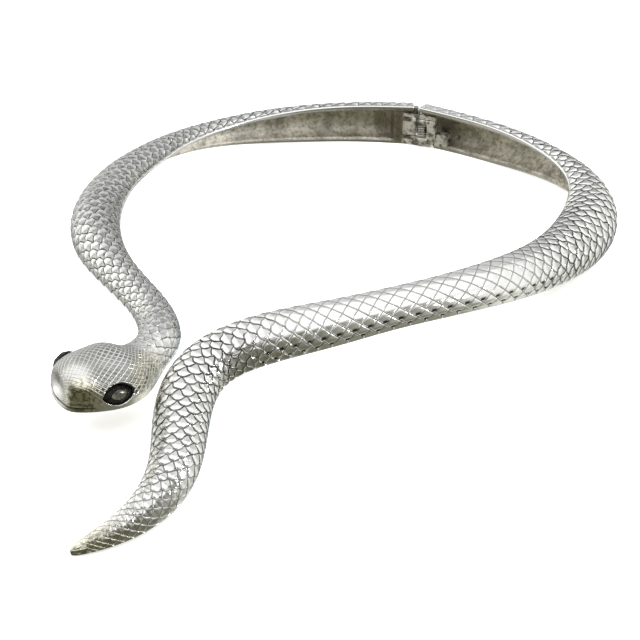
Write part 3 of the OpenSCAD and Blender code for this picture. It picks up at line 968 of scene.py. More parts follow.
@dataclass
class Casting:
    """One half of the collar: a hollow-backed loft along its route, covered with raised scales.

    Lengths are in millimetres. The bulkhead, the border, the start of the head and the fades of its
    fine scales are counted in half scales, and the stretches of pits and of overlap in rows of the
    route. Where a size is also given as a share of the depth, the width or the wall, the smaller of
    the two counts.
    """

    name: str
    route: Route
    body: Body
    node: str
    wall: float = 1.5
    wall_share: float = 0.13
    lip: float = 1.1
    lip_share: float = 0.2
    rim_round: float = 0.3
    round_share: float = 0.3
    steps_along: int = 6
    steps_across: int = 6
    lip_steps: int = 3
    hollow_steps: int = 16
    run_samples: int = 4000
    end_cut: float = 0.12
    cut_run: float = 8.0
    foot_cut: float = 0.0
    foot_run: float = 16.0
    cap_share: float = 0.05
    cap_rings: tuple[float, ...] = (0.8, 0.55, 0.3)
    bulkhead: Band | None = None
    border: float = 0.8
    head_from: float | None = None
    head_steps: int = 12
    fine_along: float = 1.5
    fine_across: float = 4.0
    fine_start: Band = (1.0, 6.0)
    fine_end: float = 1.5
    overlap: tuple[Band, ...] = ((0.0, 1.0), (20.0, 1.0))
    pits_low: Band | None = None
    pits_high: Band | None = None
    pits_fade: float = 0.5
    spots: tuple[Spot, ...] = ()
    spot_core: float = 0.4

    def zones(self) -> list[tuple[Array, int]]:
        """Stretches of the casting, each with its own number of points across the dome.

        Returns:
            For each stretch, its rings' places in half scales and its steps in one half scale across.
        """
        halves = np.arange(self.route.last * self.steps_along + 1) / self.steps_along
        if self.head_from is None:
            return [(halves, self.steps_across)]
        body, head = halves[halves < self.head_from], halves[halves >= self.head_from]
        return [(body, self.steps_across), (head, self.head_steps)]

    def section(self, columns: Array, halves: Array, steps: int) -> Section:
        """Closed outlines of rings, in their own planes.

        Args:
            columns: The table's columns at each ring.
            halves: Each ring's place in half scales.
            steps: Steps in one half scale across.

        Returns:
            The outlines.
        """
        names = ("width", "depth", "fullness", "hollow")
        width, depth, fullness, hollow = (column(columns, name) for name in names)
        lip = np.minimum(self.lip, self.lip_share * depth)
        wall = np.minimum(self.wall, self.wall_share * width)
        edge = np.minimum(self.rim_round, self.round_share * wall)
        deep = (depth - wall) * hollow * self.fill(halves)[:, None]
        power, semi, high = 2 / fullness, width / 2, depth - lip

        lattice = np.linspace(0, HALVES_ACROSS, HALVES_ACROSS * steps + 1)
        dome = np.radians(-90 + 180 * lattice / HALVES_ACROSS)[None]
        turn = np.radians(np.linspace(0, 90, self.lip_steps + 1))[None]
        inside = np.radians(np.linspace(90, -90, self.hollow_steps + 1))[None]
        rim_across = np.hstack([semi, semi - edge * (1 - np.cos(turn))])
        rim_out = np.hstack([0.5 * lip, edge * (1 - np.sin(turn))])
        across = (
            semi * signed_power(np.sin(dome), power),
            rim_across,
            (semi - wall) * signed_power(np.sin(inside), power),
            -rim_across[:, ::-1],
        )
        out = (
            lip + high * signed_power(np.cos(dome), power),
            rim_out,
            deep * signed_power(np.cos(inside), power),
            rim_out[:, ::-1],
        )
        counts = [part.shape[1] for part in across]
        kinds = np.repeat([zone.value for zone in (Zone.SCALES, Zone.LIP, Zone.HOLLOW, Zone.LIP)], counts)
        ways = np.zeros((len(columns), len(kinds), 2))
        ways[..., 1] = -1.0
        normal = np.broadcast_arrays(np.sin(dome) / semi, np.cos(dome) / high)
        ways[:, kinds == Zone.SCALES.value] = unit(np.stack(normal, -1))
        ways[:, kinds == Zone.HOLLOW.value] = np.stack([-np.sin(inside), -np.cos(inside)], -1)
        beyond = np.repeat([HALVES_ACROSS, HALVES_ACROSS / 2, 0.0], counts[1:])
        return Section(np.hstack(across), np.hstack(out), ways, np.append(lattice, beyond), kinds)

    def fill(self, halves: Array) -> Array:
        """How open the hollow is at each ring, with the solid bulkhead near the hinge.

        Args:
            halves: The rings' places in half scales.

        Returns:
            1 where it is open and 0 where it is solid.
        """
        if self.bulkhead is None:
            return np.ones_like(halves)
        first, last = self.bulkhead
        return 1.0 - ease(halves, first - 1, first) * (1.0 - ease(halves, last, last + 1))

    def running(self, halves: Array) -> Array:
        """Length along the route up to each ring.

        Args:
            halves: The rings' places in half scales.

        Returns:
            The lengths, in millimetres.
        """
        fine = np.linspace(0, halves[-1], self.run_samples)
        middles = self.route.at(self.route.spot(fine))[:, :3]
        lengths = np.concatenate([[0.0], np.cumsum(np.linalg.norm(np.diff(middles, axis=0), axis=1))])
        return np.interp(halves, fine, lengths)

    def rings(self, halves: Array, steps: int) -> tuple[Array, Marks]:
        """Rings of one stretch in space.

        Args:
            halves: The rings' places in half scales.
            steps: Steps in one half scale across.

        Returns:
            The points in millimetres and their attributes.
        """
        spots = self.route.spot(halves)
        columns, travel, face, rim = self.route.frame(spots)
        ring = self.section(columns, halves, steps)
        run = self.running(np.append(halves, float(self.route.last)))[:-1, None]
        foot = self.foot_cut * (0.5 - ring.across / column(columns, "width"))
        shift = self.end_cut * ring.out * np.maximum(0, 1 - run / self.cut_run)
        shift = shift + foot * np.maximum(0, 1 - run / self.foot_run)
        points = (
            columns[:, None, :3]
            + ring.across[..., None] * rim[:, None]
            + ring.out[..., None] * face[:, None]
            + shift[..., None] * travel[:, None]
        )
        on_scales = ring.kinds == Zone.SCALES.value
        fine = self.fine_share(halves)[:, None]
        border = ease(ring.lattice, 0.0, self.border) * ease(HALVES_ACROSS - ring.lattice, 0.0, self.border)
        values = {
            "scale_along": halves[:, None],
            "scale_across": ring.lattice,
            "relief": np.clip(column(columns, "relief"), 0, 1) * on_scales * (1 - fine),
            "border": border,
            "pitted": self.pitted(spots, ring.lattice),
            "overlap": np.interp(spots, *zip(*self.overlap))[:, None],
            "tip_way": self.route.side.value,
            "fine": fine * on_scales * border,
            "fine_along": halves[:, None] * self.fine_along,
            "fine_across": ring.lattice * self.fine_across,
            "hollow_wall": ring.kinds == Zone.HOLLOW.value,
        }
        spread = {name: np.broadcast_to(value, ring.out.shape) for name, value in values.items()}
        marks = {name: np.array(value, float) for name, value in spread.items()}
        half_length = np.gradient(self.running(halves), halves)[:, None, None]
        marks["outward"] = ring.ways[..., :1] * rim[:, None] + ring.ways[..., 1:] * face[:, None]
        marks["half_step"] = np.array(np.broadcast_to(travel[:, None] * half_length * MM, points.shape))
        return points, marks

    def pitted(self, spots: Array, lattice: Array) -> Array:
        """Where the grooves end in pits, which is along one edge of the dome at a time.

        Args:
            spots: The rings' places in rows.
            lattice: Places across, in half scales.

        Returns:
            1 where there are pits and 0 elsewhere.
        """
        share = np.zeros((len(spots), len(lattice)))
        middle = HALVES_ACROSS / 2
        for stretch, chosen in ((self.pits_low, lattice < middle), (self.pits_high, lattice > middle)):
            if stretch is not None:
                first, last = stretch
                begun = ease(spots, first - self.pits_fade, first)
                over = ease(spots, last, last + self.pits_fade)
                share = share + (begun * (1.0 - over))[:, None] * chosen
        return share

    def fine_share(self, halves: Array) -> Array:
        """How far the fine scales of the head have taken over from the body's.

        Args:
            halves: The rings' places in half scales.

        Returns:
            0 on the body and 1 on the head.
        """
        if self.head_from is None:
            return np.zeros_like(halves)
        first, full = (self.head_from + run for run in self.fine_start)
        last = float(self.route.last)
        return ease(halves, first, full) * (1.0 - ease(halves, last - self.fine_end, last))

    @staticmethod
    def strip(index: Array, along: Array, lattice: Array) -> Array:
        """Triangles between rings of one stretch, split along the grooves.

        Args:
            index: Numbers of the points, ring by ring.
            along: Each ring's place in half scales.
            lattice: Place across of the points of one ring, in half scales.

        Returns:
            The triangles.
        """
        after = np.roll(index, -1, axis=1)
        a, b, c, d = index[:-1], after[:-1], after[1:], index[1:]
        middle = ((along[:-1] + along[1:]) / 2)[:, None]
        across = ((lattice + np.roll(lattice, -1)) / 2)[None]
        gaps = [np.abs((line % 2.0) - 1.0) for line in (middle + across, middle - across)]
        forward = (gaps[1] < gaps[0])[..., None]
        first = np.where(forward, np.stack([a, b, c], -1), np.stack([a, b, d], -1))
        second = np.where(forward, np.stack([a, c, d], -1), np.stack([b, c, d], -1))
        return np.concatenate([first.reshape(-1, 3), second.reshape(-1, 3)])

    @staticmethod
    def zip_up(first: Array, second: Array, ratio: int, dome: int) -> list[tuple[int, ...]]:
        """Joins a ring to one that has more points across its dome.

        Args:
            first: The coarser ring.
            second: The finer ring.
            ratio: Steps of the finer ring for one of the coarser.
            dome: Steps across the coarser ring's dome.

        Returns:
            The faces.
        """
        faces = []
        for k in range(dome):
            faces.append((first[k], first[k + 1], *second[k * ratio : (k + 1) * ratio + 1][::-1]))
        for k in range(len(first) - dome):
            a, b = first[dome + k], first[(dome + k + 1) % len(first)]
            c, d = second[(dome * ratio + k + 1) % len(second)], second[dome * ratio + k]
            faces.append((a, b, c, d))
        return faces

    def cap(self, ring: Array, points: Array) -> tuple[Array, list[tuple[int, ...]]]:
        """Closes the last ring with shrinking rings round its middle.

        Args:
            ring: Numbers of the ring's points.
            points: All points so far.

        Returns:
            New points and the faces that close the end.
        """
        edge = points[ring]
        middle = edge.mean(axis=0)
        travel = self.route.frame(np.array([len(self.route.rows) - 1.0]))[1]
        rise = self.cap_share * self.route.rows[-1].width * travel
        domes = [middle + (edge - middle) * s + rise * (1 - s * s) for s in self.cap_rings]
        count = len(ring)
        top = len(points) + len(domes) * count
        levels = [ring] + [np.arange(count) + len(points) + k * count for k in range(len(domes))]
        faces = []
        for low, high in zip(levels, levels[1:]):
            for m in range(count):
                after = (m + 1) % count
                faces.append((low[m], low[after], high[after], high[m]))
        faces += [(levels[-1][m], levels[-1][(m + 1) % count], top) for m in range(count)]
        return np.vstack([*domes, middle + rise]), faces

    def mesh(self) -> bpy.types.Mesh:
        """Smooth skin of the casting, with the attributes that the relief is grown from.

        Returns:
            The mesh, in metres.
        """
        points, faces, marks = np.zeros((0, 3)), [], {}
        before = None
        for halves, steps in self.zones():
            rings, new = self.rings(halves, steps)
            index = np.arange(rings[..., 0].size).reshape(rings.shape[:2]) + len(points)
            faces += self.strip(index, halves, new["scale_across"][0]).tolist()
            if before is None:
                start = index[0]
            else:
                dome = HALVES_ACROSS * self.steps_across
                faces += self.zip_up(before, index[0], steps // self.steps_across, dome)
            before = index[-1]
            points = np.vstack([points, rings.reshape(-1, 3)])
            for name, values in new.items():
                flat = values.reshape(rings[..., 0].size, -1)
                marks[name] = np.vstack([marks[name], flat]) if name in marks else flat
        extra, closing = self.cap(before, points)
        points = np.vstack([points, extra])
        for name, values in marks.items():
            marks[name] = np.vstack([values, np.zeros((len(extra), values.shape[1]))])
        faces += [*closing, start[::-1].tolist()]
        if self.route.side is Side.TAIL:
            faces = [face[::-1] for face in faces]
        return self.painted(self.shaped(points, marks), faces, marks)

    def shaped(self, points: Array, marks: Marks) -> Array:
        """Paints shade or a reflection round the casting's spots and wears its fine scales there.

        Args:
            points: The loft's points, in millimetres.
            marks: Their attributes, which are changed.

        Returns:
            The points, which stay where they are.
        """
        painted_shade_and_reflection = np.zeros(len(points))
        for spot in self.spots:
            far = np.linalg.norm(points - np.array(spot.middle), axis=1) / spot.reach
            share = 1.0 - ease(far, self.spot_core, 1.0)
            marks["fine"][:, 0] *= 1.0 - spot.worn * share
            where = marks["hollow_wall"][:, 0] if spot.hollow else 1.0
            # Painted shade or reflection, kept to the hollow back where the spot says so
            painted_shade_and_reflection = np.maximum(painted_shade_and_reflection, spot.painted_shade_and_reflection * share * where)
        marks["painted_shade_and_reflection"] = painted_shade_and_reflection[:, None]
        return points

    def painted(self, points: Array, faces: list, marks: Marks) -> bpy.types.Mesh:
        """Mesh in metres with its attributes.

        Args:
            points: Points in millimetres.
            faces: Corners of the faces.
            marks: Attributes of the points.

        Returns:
            The mesh.
        """
        mesh = bpy.data.meshes.new(self.name)
        mesh.from_pydata(points * MM, [], faces)
        for name, values in marks.items():
            kind, key = ("FLOAT_VECTOR", "vector") if values.shape[1] == 3 else ("FLOAT", "value")
            layer = mesh.attributes.new(name, kind, "POINT")
            layer.data.foreach_set(key, np.ascontiguousarray(values, np.float32).ravel())
        return mesh

    def build(self, relief: Growth, finish: Material) -> None:
        """Grows the scales and settles the piece."""
        settle(relief.grow(self.mesh(), self.name, finish), self.body, Slot.CASTING, self.node)


@dataclass
class HeadCasting(Casting):
    """The half with the head: a casting with pockets for the eyes and a mouth.

    mouth_front and mouth_back are the mouth's heights over the underside, mouth_reach is half its
    width, and mouth_row is the row of the route that gives the underside. pocket_foot is how far the
    skin sinks under a stone, skin below pocket_below is left alone, and the other sizes of the
    pockets are distances from the outline of the stone.
    """

    eyes: tuple[Eye, ...] = ()
    pocket_foot: float = -1.5
    pocket_floor: float = 0.15
    pocket_collar: float = 0.4
    pocket_smooth: Band = (0.2, 1.2)
    pocket_below: float = -4.0
    mouth_front: float = 1.6
    mouth_back: float = 1.2
    mouth_reach: float = 0.4
    mouth_depth: float = 0.35
    mouth_run: float = 11.0
    mouth_fade: float = 1.5
    mouth_row: int = -4

    def shaped(self, points: Array, marks: Marks) -> Array:
        """Paints shade round the spots, wears the fine scales there, and cuts the mouth and the pockets of
        the eyes.

        Args:
            points: The loft's points, in millimetres.
            marks: Their attributes, which are changed.

        Returns:
            The points.
        """
        mouth = self.mouth(points, marks)[:, None]
        marks["mouth"] = mouth
        points = super().shaped(points, marks) - self.mouth_depth * mouth * marks["outward"]
        for eye in self.eyes:
            points = self.pocket(points, marks, eye)
        return points

    def mouth(self, points: Array, marks: Marks) -> Array:
        """Line of the mouth, at a height over the head's flat underside.

        Args:
            points: The loft's points, in millimetres.
            marks: Their attributes.

        Returns:
            1 in the middle of the line and 0 off it.
        """
        tip = np.array(self.route.rows[-1][:2])
        run = np.linalg.norm(points[:, :2] - tip, axis=1)
        back = np.clip(run / self.mouth_run, 0.0, 1.0)
        under = self.route.rows[self.mouth_row].z
        height = under + self.mouth_front + (self.mouth_back - self.mouth_front) * back
        near = 1.0 - np.clip(np.abs(points[:, 2] - height) / self.mouth_reach, 0.0, 1.0)
        on_skin = marks["hollow_wall"][:, 0] == 0
        return near * on_skin * (1.0 - ease(run, self.mouth_run, self.mouth_run + self.mouth_fade))

    def pocket(self, points: Array, marks: Marks, eye: Eye) -> Array:
        """Sinks the skin inside the outline of an eye, and slopes it down to the setting.

        Args:
            points: Points in millimetres.
            marks: Their attributes, which are changed.
            eye: The eye.

        Returns:
            The points.
        """
        turn = np.array(eye.place())
        local = (points - turn[:3, 3]) @ turn[:3, :3]
        outside = eye.distance(local[:, :2])
        limit = eye.lip + eye.slope * (outside - self.pocket_collar)
        limit = np.where(outside < self.pocket_floor, self.pocket_foot, limit)
        close = (outside < eye.reach) & (local[:, 2] > self.pocket_below)
        height = np.where(close, np.minimum(local[:, 2], limit), local[:, 2])
        marks["fine"][close, 0] *= ease(outside, *self.pocket_smooth)[close]
        return points + (height - local[:, 2])[:, None] * turn[:3, 2]


def polar(middle: Band, radius: float, angle: float) -> Band:
    """Point on a circle in the plane of the table."""
    return middle[0] + radius * math.cos(angle), middle[1] + radius * math.sin(angle)


def toward(azimuth: float, height: float) -> Vector:
    """Unit vector at an azimuth and a height in degrees, where azimuth 0 is the wearer's front."""
    side, rise = math.radians(azimuth), math.radians(height)
    return Vector((math.sin(side) * math.cos(rise), -math.cos(side) * math.cos(rise), math.sin(rise)))


def stacked(rings: list[list[Place]], closed: bool = False) -> Shape:
    """Shape through rings of points.

    Args:
        rings: Its rings from the foot up, in millimetres, each with the same number of points.
        closed: Whether the last ring joins the first, so that there are no ends.

    Returns:
        The shape.
    """
    shape = bmesh.new()
    levels = [[shape.verts.new(point) for point in ring] for ring in rings]
    for low, high in list(zip(levels, levels[1:])) + [(levels[-1], levels[0])] * closed:
        for k in range(len(low)):
            after = (k + 1) % len(low)
            shape.faces.new((low[k], low[after], high[after], high[k]))
    if not closed:
        shape.faces.new(levels[0][::-1])
        shape.faces.new(levels[-1])
    return shape


def prism(outline: list[Band], low: float, high: float) -> Shape:
    """Upright prism over an outline in the plane of the table, between two heights."""
    return stacked([[(x, y, z) for x, y in outline] for z in (low, high)])


def block(sizes: tuple[float, float, float, float], front: float, deep: float) -> Shape:
    """Block from its first and last x and z, its front and its depth."""
    first, last, low, high = sizes
    return prism([(first, front), (last, front), (last, front + deep), (first, front + deep)], low, high)


def turned(profile: tuple[Band, ...], place: Band, sides: int = 40) -> Shape:
    """Shape turned about an upright axis.

    Args:
        profile: Radius and height of its points, from the foot up, in millimetres.
        place: Where the axis stands.
        sides: Number of its sides.

    Returns:
        The shape.
    """
    angles = [2 * math.pi * k / sides for k in range(sides)]
    return stacked([[(*polar(place, radius, a), height) for a in angles] for radius, height in profile])


def bevelled(shape: Shape, name: str, width: float, finish: Material) -> bpy.types.Object:
    """Rounds the edges of a shape given in millimetres and makes it an object.

    Args:
        shape: The shape, which is used up.
        name: Name of the piece.
        width: Width of the rounding, in millimetres.
        finish: Its material.

    Returns:
        The object, with its mesh in metres.
    """
    bmesh.ops.remove_doubles(shape, verts=shape.verts, dist=MERGE)
    bmesh.ops.recalc_face_normals(shape, faces=shape.faces)
    sharp = [e for e in shape.edges if e.calc_face_angle(0.0) > CREASE]
    settings = {"segments": BEVEL_STEPS, "profile": 0.5, "affect": "EDGES", "clamp_overlap": True}
    bmesh.ops.bevel(shape, geom=sharp, offset=width, **settings)
    bmesh.ops.scale(shape, vec=(MM, MM, MM), verts=shape.verts)
    mesh = bpy.data.meshes.new(name)
    shape.to_mesh(mesh)
    shape.free()
    mesh.shade_smooth()
    mesh.materials.append(finish)
    return link(name, mesh)


@dataclass
class SpringHinge:
    """Pin, ears, knuckles and spring at the nape.

    Sizes are in millimetres. A pair of heights is a foot and a top. Post, bracket, stop lug and
    spring seat each give their first and last x, their foot and their top, and the peg its x, its
    height and its diameter. The pin's foot and rivet give radii and heights, the rivet's from the
    pin's top.
    """

    finishes: dict[str, Material]
    pin: Band = (0.3, 107.6)
    back: float = 106.2
    edge: float = 0.22
    ear_half: float = 2.4
    ear_sunk: float = 0.4
    ear_steps: int = 16
    ear_low: Band = (0.4, 2.2)
    ear_high: Band = (10.6, 12.0)
    upper_reach: float = 5.4
    lower_reach: float = 4.2
    arm: float = 8.0
    knuckle: float = 2.4
    knuckle_steps: int = 24
    knuckle_low: Band = (2.4, 3.6)
    knuckle_high: Band = (9.2, 10.4)
    post: tuple[float, float, float, float] = (2.7, 5.7, 2.4, 10.4)
    post_overlap: float = 1.0
    bracket: tuple[float, float, float, float] = (5.5, 10.1, 1.0, 5.6)
    bracket_deep: float = 6.4
    stop_lug: tuple[float, float, float, float] = (-3.7, -1.3, 11.0, 14.4)
    spring_seat: tuple[float, float, float, float] = (-7.7, -1.8, 3.7, 8.6)
    block_sunk: float = 0.2
    block_deep: float = 2.0
    seat_deep: float = 4.6
    peg: tuple[float, float, float] = (12.8, 4.4, 1.3)
    peg_long: float = 3.6
    peg_sunk: float = 2.4
    peg_sides: int = 24
    peg_edge: float = 0.2
    pin_edge: float = 0.03
    pin_foot: tuple[Band, ...] = ((0.7, 0.1), (1.25, 0.14), (1.3, 0.2), (1.3, 0.35), (0.75, 0.35))
    pin_top: float = 12.05
    pin_rivet: tuple[Band, ...] = ((0.75, 0), (1.3, 0), (1.3, 0.3), (1.15, 0.47), (0.85, 0.56), (0.4, 0.6))
    wire: float = 0.8
    wire_sides: int = 14
    coil: float = 4.0
    coil_gap: float = 0.2
    coil_steps: int = 24
    turns: int = 5
    head_leg: float = 4.0
    tail_leg_gap: float = 0.3

    def ear(self, heights: Band, reach: float) -> Shape:
        """Flat ear, square towards its arm and rounded beyond the pin.

        Args:
            heights: Foot and top.
            reach: Reach beyond the pin.

        Returns:
            The shape.
        """
        front = self.back - self.ear_sunk - self.pin[1]
        start = math.asin(max(-1.0, front / reach))
        stop = math.asin(min(1.0, self.ear_half / reach))
        angles = [start + (stop - start) * k / self.ear_steps for k in range(self.ear_steps + 1)]
        return self.plate(self.pin[0] - self.arm, (front, self.ear_half), reach, angles, heights)

    def knuckle_plate(self, heights: Band) -> Shape:
        """Round knuckle between two heights, with its arm to the post.

        Args:
            heights: Foot and top.

        Returns:
            The shape.
        """
        angles = [math.radians(90 + 180 * k / self.knuckle_steps) for k in range(self.knuckle_steps + 1)]
        foot = self.post[0] + self.post_overlap
        return self.plate(foot, (self.knuckle, -self.knuckle), self.knuckle, angles, heights)

    def plate(self, foot: float, sides: Band, reach: float, angles: list[float], heights: Band) -> Shape:
        """Flat plate with an arm and a round end about the pin.

        Args:
            foot: Where the arm ends, along x.
            sides: Both sides of the arm, from the pin along y.
            reach: Radius of the round end.
            angles: Where the round end has its corners, about the pin.
            heights: Foot and top.

        Returns:
            The shape.
        """
        first, last = ((foot, self.pin[1] + side) for side in sides)
        return prism([first, *(polar(self.pin, reach, angle) for angle in angles), last], *heights)

    def spring_path(self) -> list[Place]:
        """Middle line of the wire.

        Returns:
            Points of a leg, the coil and the other leg, in millimetres.
        """
        mean = (self.coil - self.wire) / 2
        side = self.pin[1] - mean
        base = self.knuckle_low[1] + self.coil_gap + self.wire / 2
        climb = (self.knuckle_high[0] - self.coil_gap - self.wire / 2 - base) / self.turns
        path = [(self.pin[0] - self.head_leg, side, base)]
        for k in range(self.turns * self.coil_steps + 1):
            angle = math.radians(-90 + 360 * k / self.coil_steps)
            path.append((*polar(self.pin, mean, angle), base + climb * k / self.coil_steps))
        path.append((self.post[0] - self.tail_leg_gap, side, base + climb * self.turns))
        return path

    def spring_tree(self) -> Growth:
        """Tree that draws a round wire along a path.

        Returns:
            The tree.
        """
        growth = Growth("Round wire", {"Wire radius": self.wire / 2 * MM, "Wire sides": self.wire_sides})
        path = growth.add("GeometryNodeMeshToCurve", None, {"Mesh": growth.size("Geometry")})
        values = {"Resolution": growth.size("Wire sides"), "Radius": growth.size("Wire radius")}
        ring = growth.add("GeometryNodeCurvePrimitiveCircle", None, values)
        values = {"Curve": path, "Profile Curve": ring, "Fill Caps": True}
        growth.close(growth.add("GeometryNodeCurveToMesh", None, values))
        return growth

    def build(self) -> None:
        """Makes and settles every part of the hinge."""
        front = self.back - self.block_sunk
        head = {
            "upper_ear": self.ear(self.ear_high, self.upper_reach),
            "lower_ear": self.ear(self.ear_low, self.lower_reach),
            "stop_lug": block(self.stop_lug, front, self.block_deep),
            "spring_seat": block(self.spring_seat, self.back, self.seat_deep),
        }
        tail = {
            "upper_knuckle": self.knuckle_plate(self.knuckle_high),
            "lower_knuckle": self.knuckle_plate(self.knuckle_low),
            "hinge_post": block(self.post, self.pin[1] - self.knuckle, 2 * self.knuckle),
            "hinge_bracket": block(self.bracket, front, self.bracket_deep),
        }
        for parts, body, node in ((head, Body.HEAD, "head_arm"), (tail, Body.TAIL, "tail_arm")):
            for name, shape in parts.items():
                finish = self.finishes.get(name, self.finishes["hinge"])
                settle(bevelled(shape, name, self.edge, finish), body, Slot.CASTING, node)
        self.build_peg()
        self.build_pin()
        self.build_spring()

    def build_peg(self) -> None:
        """Peened peg in the pocket beyond the bracket."""
        x, z, across = self.peg
        shape = turned(((across / 2, 0), (across / 2, self.peg_long)), (0, 0), self.peg_sides)
        lying = Matrix.Rotation(math.radians(-90), 4, "X")
        place = Matrix.Translation((x, self.back + self.peg_sunk, z)) @ lying
        bmesh.ops.transform(shape, matrix=place, verts=shape.verts)
        peg = bevelled(shape, "hinge_peg", self.peg_edge, self.finishes["hinge"])
        settle(peg, Body.TAIL, Slot.CASTING, "tail_arm")

    def build_pin(self) -> None:
        """Hinge pin with its two riveted heads."""
        rivet = tuple((radius, self.pin_top + height) for radius, height in self.pin_rivet)
        shape = turned(self.pin_foot + rivet, self.pin)
        pin = bevelled(shape, "hinge_pin_turned", self.pin_edge, self.finishes["pin"])
        settle(pin, Body.HEAD, Slot.PIN, "hinge_pin")

    def build_spring(self) -> None:
        """Torsion spring round the pin."""
        points = [tuple(c * MM for c in p) for p in self.spring_path()]
        line = bpy.data.meshes.new("spring_line")
        line.from_pydata(points, [(k, k + 1) for k in range(len(points) - 1)], [])
        piece = self.spring_tree().grow(line, "hinge_spring_wire", self.finishes["spring"])
        settle(piece, Body.HEAD, Slot.SPRING, "hinge_spring")


@dataclass
class Eye:
    """Marquise stone in its cast setting on one flank of the head.

    Sizes are in millimetres and angles in degrees. facets holds the share of the outline and the
    share of the rise at each level of the stone, and rim the shares of twice the setting's wall that
    are added to the length and the width, with the height over the lip.
    """

    name: str
    flank: int
    node: str
    length: float = 6.8
    width: float = 4.0
    rise: float = 1.9
    facets: tuple[Band, ...] = ((0.9, 0.05), (1.0, 0.25), (1.0, 0.5), (0.56, 0.95), (0.4, 0.985), (0.2, 1.0))
    corners: int = 16
    table_flat: float = 0.95
    edge: float = 0.04
    setting: float = 0.28
    setting_foot: float = -2.4
    setting_corners: int = 48
    setting_edge: float = 0.03
    gap_below: float = 0.1
    gap_above: float = 0.08
    rim: tuple[Place, ...] = ((1.3, 1.0, -0.25), (1.1, 0.8, -0.05), (0.5, 0.4, 0.03))
    rim_sunk: float = 0.05
    lip: float = 0.05
    slope: float = 3.0
    reach: float = 2.5
    skull: Place = (-22.3, -74.4, 15.8)
    heading: float = 250.0
    out: float = 9.7
    tilt: float = 60.0
    toe: float = 15.0
    seat: float = -1.0
    lift: float = 0.0

    def place(self) -> Matrix:
        """Turns and moves a shape made round the origin to the eye.

        Returns:
            The matrix.
        """
        return (
            Matrix.Translation(self.skull)
            @ Matrix.Rotation(math.radians(self.heading), 4, "Z")
            @ Matrix.Translation((0, self.flank * self.out, 0))
            @ Matrix.Rotation(math.radians(-self.flank * self.toe), 4, "Z")
            @ Matrix.Rotation(math.radians(-self.flank * self.tilt), 4, "X")
            @ Matrix.Translation((0, 0, self.lift))
        )

    def distance(self, spots: Array) -> Array:
        """Distance from the stone's outline, negative inside it.

        Args:
            spots: Places in the eye's own plane, in millimetres.

        Returns:
            The distances.
        """
        radius = (self.length**2 + self.width**2) / (4 * self.width)
        centre = radius - self.width / 2
        arcs = [np.hypot(spots[:, 0], spots[:, 1] - side * centre) - radius for side in (1, -1)]
        return np.maximum(*arcs)

    def outline(self, longer: float, wider: float, corners: int) -> list[Band]:
        """Corners of a marquise.

        Args:
            longer: Added to the stone's length.
            wider: Added to its width.
            corners: Number of corners.

        Returns:
            The corners, anticlockwise.
        """
        length, width = self.length + longer, self.width + wider
        radius = (length**2 + width**2) / (4 * width)
        half_arc = math.asin(length / 2 / radius)
        points = []
        for sign in (1, -1):
            for k in range(corners // 2):
                angle = sign * half_arc * (1 - 4 * k / corners)
                rise = radius * math.cos(angle) - radius + width / 2
                points.append((radius * math.sin(angle), sign * rise))
        return points

    def loft(self, levels: list[Place], corners: int, closed: bool) -> Shape:
        """Stacks outlines into a shape.

        Args:
            levels: For each outline, what is added to the length and the width, and its height.
            corners: Corners of each outline.
            closed: Whether the last outline joins the first, as on a ring, and has no ends.

        Returns:
            The shape, at the eye.
        """
        rings = [[(x, y, high) for x, y in self.outline(long, wide, corners)] for long, wide, high in levels]
        shape = stacked(rings, closed)
        bmesh.ops.transform(shape, matrix=self.place(), verts=shape.verts)
        return shape

    def build(self, stone: Material, silver: Material) -> None:
        """Makes the stone and its setting.

        Args:
            stone: Material of the stone.
            silver: Material of the setting.
        """
        levels = []
        for share, height in self.facets:
            more = share - 1
            levels.append((more * self.length, more * self.width, self.seat + height * self.rise))
        gem = bevelled(self.loft(levels, self.corners, False), self.name, self.edge, stone)
        up = self.place().to_3x3() @ Vector((0, 0, 1))
        table = gem.data.attributes.new("table", "FLOAT", "FACE")
        for face, share in zip(gem.data.polygons, table.data):
            face.use_smooth = face.normal.dot(up) > self.table_flat
            share.value = float(face.use_smooth)
        settle(gem, Body.HEAD, Slot.STONE, self.node)

        wide = 2 * self.setting
        ring = [(self.gap_below, self.gap_below, self.setting_foot)]
        ring.append((self.rim[0][0] * wide, self.rim[0][1] * wide, self.setting_foot))
        ring += [(long * wide, broad * wide, self.lip + height) for long, broad, height in self.rim]
        ring.append((self.gap_above, self.gap_above, self.lip - self.rim_sunk))
        shape = self.loft(ring, self.setting_corners, True)
        setting = bevelled(shape, self.name + "_setting", self.setting_edge, silver)
        settle(setting, Body.HEAD, Slot.CASTING, "head_arm")


